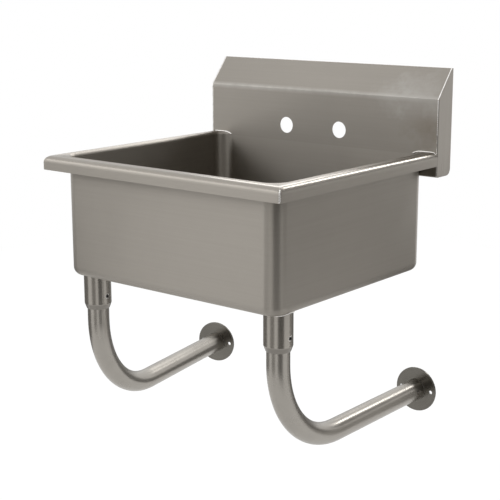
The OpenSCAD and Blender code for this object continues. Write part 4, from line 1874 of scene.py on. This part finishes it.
@dataclass(frozen=True)
class Recipes:
    """The Geometry Nodes trees that the sink's pieces share."""

    bead: Recipe
    tube: Recipe
    thread: Recipe
    lugs: Recipe
    holes: Recipe

    @classmethod
    def written(cls, finishes: Finishes) -> "Recipes":
        """Builds every tree.

        Args:
            finishes: The sink's materials.

        Returns:
            The set of recipes.
        """
        made = finishes.made
        return cls(cls.weld_bead(made["weld"]), cls.bent_tube(made["tube_steel"]),
                   cls.cut_thread(made["drain_steel"]), cls.nut_lugs(made["nut_zinc"]),
                   cls.perforation(made["basket_steel"]))

    @staticmethod
    def weld_bead(finish: bpy.types.Material) -> Recipe:
        """Bead along a line, with a ripple of even pitch and a little unevenness.

        Args:
            finish: Material that it sets.

        Returns:
            The recipe.
        """
        r = Recipe("weld bead", finish, {"Radius": 0.001, "Pitch": 0.002, "Ripple": 0.15})
        curve = r.add("GeometryNodeMeshToCurve", {"Mesh": r.start["Geometry"]}).outputs[0]
        step = r.math("DIVIDE", r.start["Pitch"], 6.0)
        fine = r.add("GeometryNodeResampleCurve", {"Curve": curve, "Length": step},
                     mode="LENGTH").outputs[0]
        run = r.add("GeometryNodeSplineParameter").outputs["Length"]
        turn = r.math("DIVIDE", r.math("MULTIPLY", run, math.tau), r.start["Pitch"])
        wave = r.math("MULTIPLY", r.math("SINE", turn), r.start["Ripple"])
        rough = r.add("ShaderNodeTexNoise", {"Scale": 220.0, "Detail": 1.0}).outputs[0]
        scale = r.math("ADD", r.math("ADD", wave, 0.7), r.math("MULTIPLY", rough, 0.4))
        return r.close(r.swept(r.start["Radius"], 10, scale, True, fine))

    @staticmethod
    def bent_tube(finish: bpy.types.Material) -> Recipe:
        """Outside and bore of a tube along a line.

        Args:
            finish: Material that it sets.

        Returns:
            The recipe.
        """
        r = Recipe("bent tube", finish, {"Outside": 0.016, "Bore": 0.0145})
        outside = r.swept(r.start["Outside"], 64, 1.0, False)
        bore = r.swept(r.start["Bore"], 64, 1.0, False)
        flipped = r.add("GeometryNodeFlipFaces", {0: bore}).outputs[0]
        return r.close(r.together(outside, flipped))

    @staticmethod
    def cut_thread(finish: bpy.types.Material) -> Recipe:
        """Ridge of a thread round the Z axis.

        Args:
            finish: Material that it sets.

        Returns:
            The recipe.
        """
        r = Recipe("cut thread", finish, {
            "Radius": 0.023, "Turns": 6.0, "Rise": 0.01, "Ridge": 0.0004})
        helix = r.add("GeometryNodeCurveSpiral", {
            "Resolution": 48, "Rotations": r.start["Turns"], "Start Radius": r.start["Radius"],
            "End Radius": r.start["Radius"], "Height": r.start["Rise"]}).outputs[0]
        return r.close(r.swept(r.start["Ridge"], 4, 1.0, True, helix))

    @staticmethod
    def nut_lugs(finish: bpy.types.Material) -> Recipe:
        """Blocks set round a ring, joined to it.

        Args:
            finish: Material that it sets.

        Returns:
            The recipe.
        """
        r = Recipe("nut lugs", finish, {
            "Count": 6, "Reach": 0.05, "Long": 0.006, "Wide": 0.006, "High": 0.009, "Level": 0.0})
        size = r.add("ShaderNodeCombineXYZ", {
            "X": r.start["Long"], "Y": r.start["Wide"], "Z": r.start["High"]}).outputs[0]
        block = r.add("GeometryNodeMeshCube", {"Size": size}).outputs[0]
        lugs = r.round_axis(r.start["Count"], r.start["Reach"], block, r.start["Level"])
        return r.close(r.together(r.start["Geometry"], lugs))

    @staticmethod
    def perforation(finish: bpy.types.Material) -> Recipe:
        """Round holes in a floor and slots in a wall, cut out of the incoming shape.

        Args:
            finish: Material that it sets.

        Returns:
            The recipe.
        """
        r = Recipe("perforation", finish, {
            "Floor Holes": 14, "Outer Ring": 0.025, "Inner Ring": 0.017, "Hole": 0.002,
            "Floor": 0.0, "Slots": 16, "Slot Ring": 0.037, "Slot Wide": 0.00125,
            "Slot High": 0.0085, "Slot Level": 0.0})
        drill = r.add("GeometryNodeMeshCylinder", {
            "Vertices": 20, "Radius": r.start["Hole"], "Depth": 0.006}).outputs[0]
        outer = r.round_axis(r.start["Floor Holes"], r.start["Outer Ring"], drill, r.start["Floor"])
        fewer = r.math("DIVIDE", r.start["Floor Holes"], 2.0)
        inner = r.round_axis(fewer, r.start["Inner Ring"], drill, r.start["Floor"])
        wide = r.math("MULTIPLY", r.start["Slot Wide"], 2.0)
        size = r.add("ShaderNodeCombineXYZ",
                     {"X": 0.02, "Y": wide, "Z": r.start["Slot High"]}).outputs[0]
        flat = r.add("GeometryNodeMeshCube", {"Size": size}).outputs[0]
        end = r.add("GeometryNodeMeshCylinder", {
            "Vertices": 20, "Radius": r.start["Slot Wide"], "Depth": 0.02}).outputs[0]
        half = r.math("MULTIPLY", r.start["Slot High"], 0.5)
        ends = []
        for sign in (1.0, -1.0):
            lift = r.add("ShaderNodeCombineXYZ", {"Z": r.math("MULTIPLY", half, sign)}).outputs[0]
            ends.append(r.add("GeometryNodeTransform", {
                "Geometry": end, "Translation": lift, "Rotation": (0, math.pi / 2, 0)}).outputs[0])
        slot = r.add("GeometryNodeMeshBoolean", {"Mesh 2": r.together(flat, *ends)},
                     operation="UNION", solver="EXACT").outputs[0]
        slots = r.round_axis(r.start["Slots"], r.start["Slot Ring"], slot, r.start["Slot Level"])
        tools = r.add("GeometryNodeRealizeInstances",
                      {0: r.together(outer, inner, slots)}).outputs[0]
        cut = r.add("GeometryNodeMeshBoolean", {"Mesh 1": r.start["Geometry"], "Mesh 2": tools},
                    operation="DIFFERENCE", solver="EXACT").outputs[0]
        return r.close(cut)


# ---------------------------------------------------------------- studio


WHITE = (1.0, 1.0, 1.0, 1.0)

# Lamps: name, place and aim in metres, width and height in metres, power in watts
LAMPS = (
    ("crest strip", (0.50, 1.9, 1.45), (0.2, -0.2, -0.1), (0.32, 0.75), 7.0),
    ("left softbox", (-0.50, 0.55, 0.65), (-0.2, -0.25, -0.08), (0.7, 0.7), 3.5),
    ("front softbox", (-1.30, -1.80, 0.72), (0.0, -0.2, -0.1), (1.4, 0.6), 3.8),
)

# Cards that the steel mirrors: name, azimuth in degrees, distance from the middle of the
# sink, heights of its lower and upper edge and width in metres, brightness
CARDS = (
    ("high side card", 50.0, 1.55, 0.10, 1.40, 1.3, 0.30),
    ("low side card", 55.0, 1.10, -0.74, -0.26, 0.55, 0.26),
    ("right card", -30.0, 0.85, -0.74, 0.20, 0.69, 0.18),
    ("upper right card", 16.0, 0.90, -0.42, 0.30, 0.70, 0.30),
    ("camera card", -42.0, 2.00, 0.10, 1.50, 2.0, 0.30),
    ("side band", 55.0, 1.05, -0.74, -0.10, 0.10, 0.80),
    ("corner card", -66.0, 0.90, -0.38, -0.05, 0.45, 0.70),
    ("front card", -95.0, 0.85, -0.74, -0.30, 0.52, 0.35),
    ("left card", -171.0, 0.95, -0.74, -0.30, 1.0, 0.25),
    ("far right card", 88.0, 0.85, -0.74, -0.42, 0.75, 0.25),
    ("back card", 137.0, 0.95, -0.74, -0.42, 0.8, 0.25),
)


@dataclass
class Studio:
    """Camera at the photograph's angle, plain pale floor and soft light."""

    heading: float = 39.1551
    height: float = 12.9227
    roll: float = -0.1223
    place: Place = (1.0977, -1.5529, 0.1753)
    lens: float = 86.473
    floor_z: float = -0.75
    floor_half: float = 2.1
    middle: Point = (0.1, -0.35)
    daylight: float = 0.85
    floor_glow: float = 1.08
    glow_seen: float = 0.75
    glow_lost_in_mirrors: float = 0.45

    def camera(self) -> None:
        """Sets the camera."""
        data = bpy.data.cameras.new("camera")
        data.lens = self.lens
        data.sensor_width = 36.0
        data.sensor_fit = "HORIZONTAL"
        camera = bpy.data.objects.new("camera", data)
        bpy.context.scene.collection.objects.link(camera)
        p, t, r = (math.radians(a) for a in (self.heading, self.height, self.roll))
        back = Vector((math.sin(p) * math.cos(t), -math.cos(p) * math.cos(t), math.sin(t)))
        right = Vector((math.cos(p), math.sin(p), 0))
        up = back.cross(right)
        side = right * math.cos(r) + up * math.sin(r)
        top = up * math.cos(r) - right * math.sin(r)
        matrix = Matrix((side, top, back)).transposed().to_4x4()
        matrix.translation = Vector(self.place)
        camera.matrix_world = matrix
        bpy.context.scene.camera = camera

    @staticmethod
    def seen_rays(w: NodeTree) -> bpy.types.NodeSocket:
        """One for camera, glossy and transmission rays, else zero.

        Args:
            w: The material's or the world's tree.

        Returns:
            The number.
        """
        path = w.add("ShaderNodeLightPath").outputs
        seen = w.math("MAXIMUM", path["Is Camera Ray"], path["Is Glossy Ray"])
        return w.math("MAXIMUM", seen, path["Is Transmission Ray"])

    def world(self) -> None:
        """White where it is seen, and a plain level of light elsewhere."""
        world = bpy.data.worlds.new("studio")
        bpy.context.scene.world = world
        world.use_nodes = True
        w = NodeTree(world.node_tree)
        w.tree.nodes.clear()
        plain, white = (
            w.add("ShaderNodeBackground", {"Color": WHITE, "Strength": level}).outputs[0]
            for level in (self.daylight, 1.0))
        mix = w.add("ShaderNodeMixShader", {0: self.seen_rays(w), 1: plain, 2: white})
        w.add("ShaderNodeOutputWorld", {"Surface": mix.outputs[0]})

    def floor(self) -> None:
        """Pale floor that shows white, keeps a shadow and is clear from below."""
        w = Wiring("pale floor")
        seen = self.seen_rays(w)
        speck = w.noise(w.coords("Object", (1, 1, 1)), 60, 4)
        w.shade(Base_Color=w.mix(speck, (0.86, 0.86, 0.86), (0.9, 0.9, 0.9)), Roughness=0.9,
                Specular_IOR_Level=0.1)
        glow = w.add("ShaderNodeEmission", {"Color": WHITE, "Strength": self.floor_glow})
        mirrored = w.add("ShaderNodeLightPath").outputs["Is Glossy Ray"]
        share = w.math("SUBTRACT", w.math("MULTIPLY", seen, self.glow_seen),
                       w.math("MULTIPLY", mirrored, self.glow_lost_in_mirrors))
        mix = w.add("ShaderNodeMixShader",
                    {0: share, 1: w.shader.outputs[0], 2: glow.outputs[0]})
        below = w.add("ShaderNodeNewGeometry").outputs["Backfacing"]
        clear = w.add("ShaderNodeBsdfTransparent")
        top = w.add("ShaderNodeMixShader", {0: below, 1: mix.outputs[0], 2: clear.outputs[0]})
        size, z = self.floor_half, self.floor_z
        self.sheet("floor", w, top, [(-size, -size, z), (size, -size, z),
                                              (size, size, z), (-size, size, z)])

    @staticmethod
    def sheet(name: str, w: Wiring, shader: bpy.types.Node,
              corners: Sequence[Sequence[float]]) -> bpy.types.Object:
        """Makes a flat four-sided piece of the studio.

        Args:
            name: Name of the piece.
            w: Its material.
            shader: Node that shades it.
            corners: Its corners in metres.

        Returns:
            The new object.
        """
        w.put(w.output.inputs["Surface"], shader.outputs[0])
        mesh = bpy.data.meshes.new(name)
        mesh.from_pydata(corners, [], [(0, 1, 2, 3)])
        mesh.materials.append(w.material)
        return new_piece(name, mesh)

    def softbox(self, name: str, place: Place, aim: Place, size: Point, power: float) -> None:
        """Adds one soft lamp.

        Args:
            name: Name of the lamp.
            place: Where it stands, in metres.
            aim: Point that it faces.
            size: Width and height in metres.
            power: Power in watts.
        """
        data = bpy.data.lights.new(name, "AREA")
        data.shape = "RECTANGLE"
        data.size, data.size_y = size
        data.energy = power
        lamp = bpy.data.objects.new(name, data)
        bpy.context.scene.collection.objects.link(lamp)
        lamp.location = place
        lamp.rotation_euler = (Vector(place) - Vector(aim)).to_track_quat("Z", "Y").to_euler()

    def card(self, name: str, middle: Place, facing: float, size: Point, level: float) -> None:
        """Stands an upright grey card beside the sink, which only its reflections show.

        Args:
            name: Name of the card.
            middle: Its middle, in metres.
            facing: Direction that it faces, in degrees round Z.
            size: Width and height in metres.
            level: Brightness of the card.
        """
        w = Wiring(name)
        tone = w.spread(w.noise(w.coords("Object", (1, 1, 1)), 3, 1), level * 0.9, level * 1.1)
        glow = w.add("ShaderNodeEmission", {"Color": (1.0, 0.98, 0.95, 1), "Strength": tone})
        turn = math.radians(facing + 90)
        side = Vector((math.cos(turn), math.sin(turn), 0)) * size[0] / 2
        up = Vector((0, 0, size[1] / 2))
        spot = Vector(middle)
        piece = self.sheet(name, w, glow, [spot - side - up, spot + side - up,
                                           spot + side + up, spot - side + up])
        piece.visible_camera = piece.visible_diffuse = piece.visible_shadow = False

    def build(self) -> None:
        """Sets up the whole studio."""
        self.camera()
        self.world()
        self.floor()
        for lamp in LAMPS:
            self.softbox(*lamp)
        middle_x, middle_y = self.middle
        for name, azimuth, distance, low, high, width, level in CARDS:
            turn = math.radians(azimuth)
            spot = (middle_x + distance * math.cos(turn), distance * math.sin(turn) + middle_y,
                    (low + high) / 2)
            self.card(name, spot, azimuth + 180.0, (width, high - low), level)
        bpy.context.scene.view_settings.view_transform = "Standard"


def main() -> None:
    """Builds the studio and every sub-assembly of the sink, in order."""
    logging.basicConfig(level=logging.INFO, format="%(name)s: %(message)s")
    Studio().build()
    finishes = Finishes.mixed()
    recipes = Recipes.written(finishes)
    bowl = Bowl().build(finishes, recipes.bead)
    surface = BVHTree.FromObject(bowl, bpy.context.evaluated_depsgraph_get())
    Backsplash().build(finishes, recipes.bead)
    WallHanger().build(finishes)
    for side, swing in ((Side.LEFT, 11.0), (Side.RIGHT, 0.0)):
        LegSocket(side).build(finishes, surface, recipes.bead)
        Support(side, swing=swing).build(finishes, recipes.tube, recipes.bead)
    Drain().build(finishes, recipes.thread, recipes.lugs)
    Basket().build(finishes, recipes.holes)


if __name__ == "__main__":
    main()
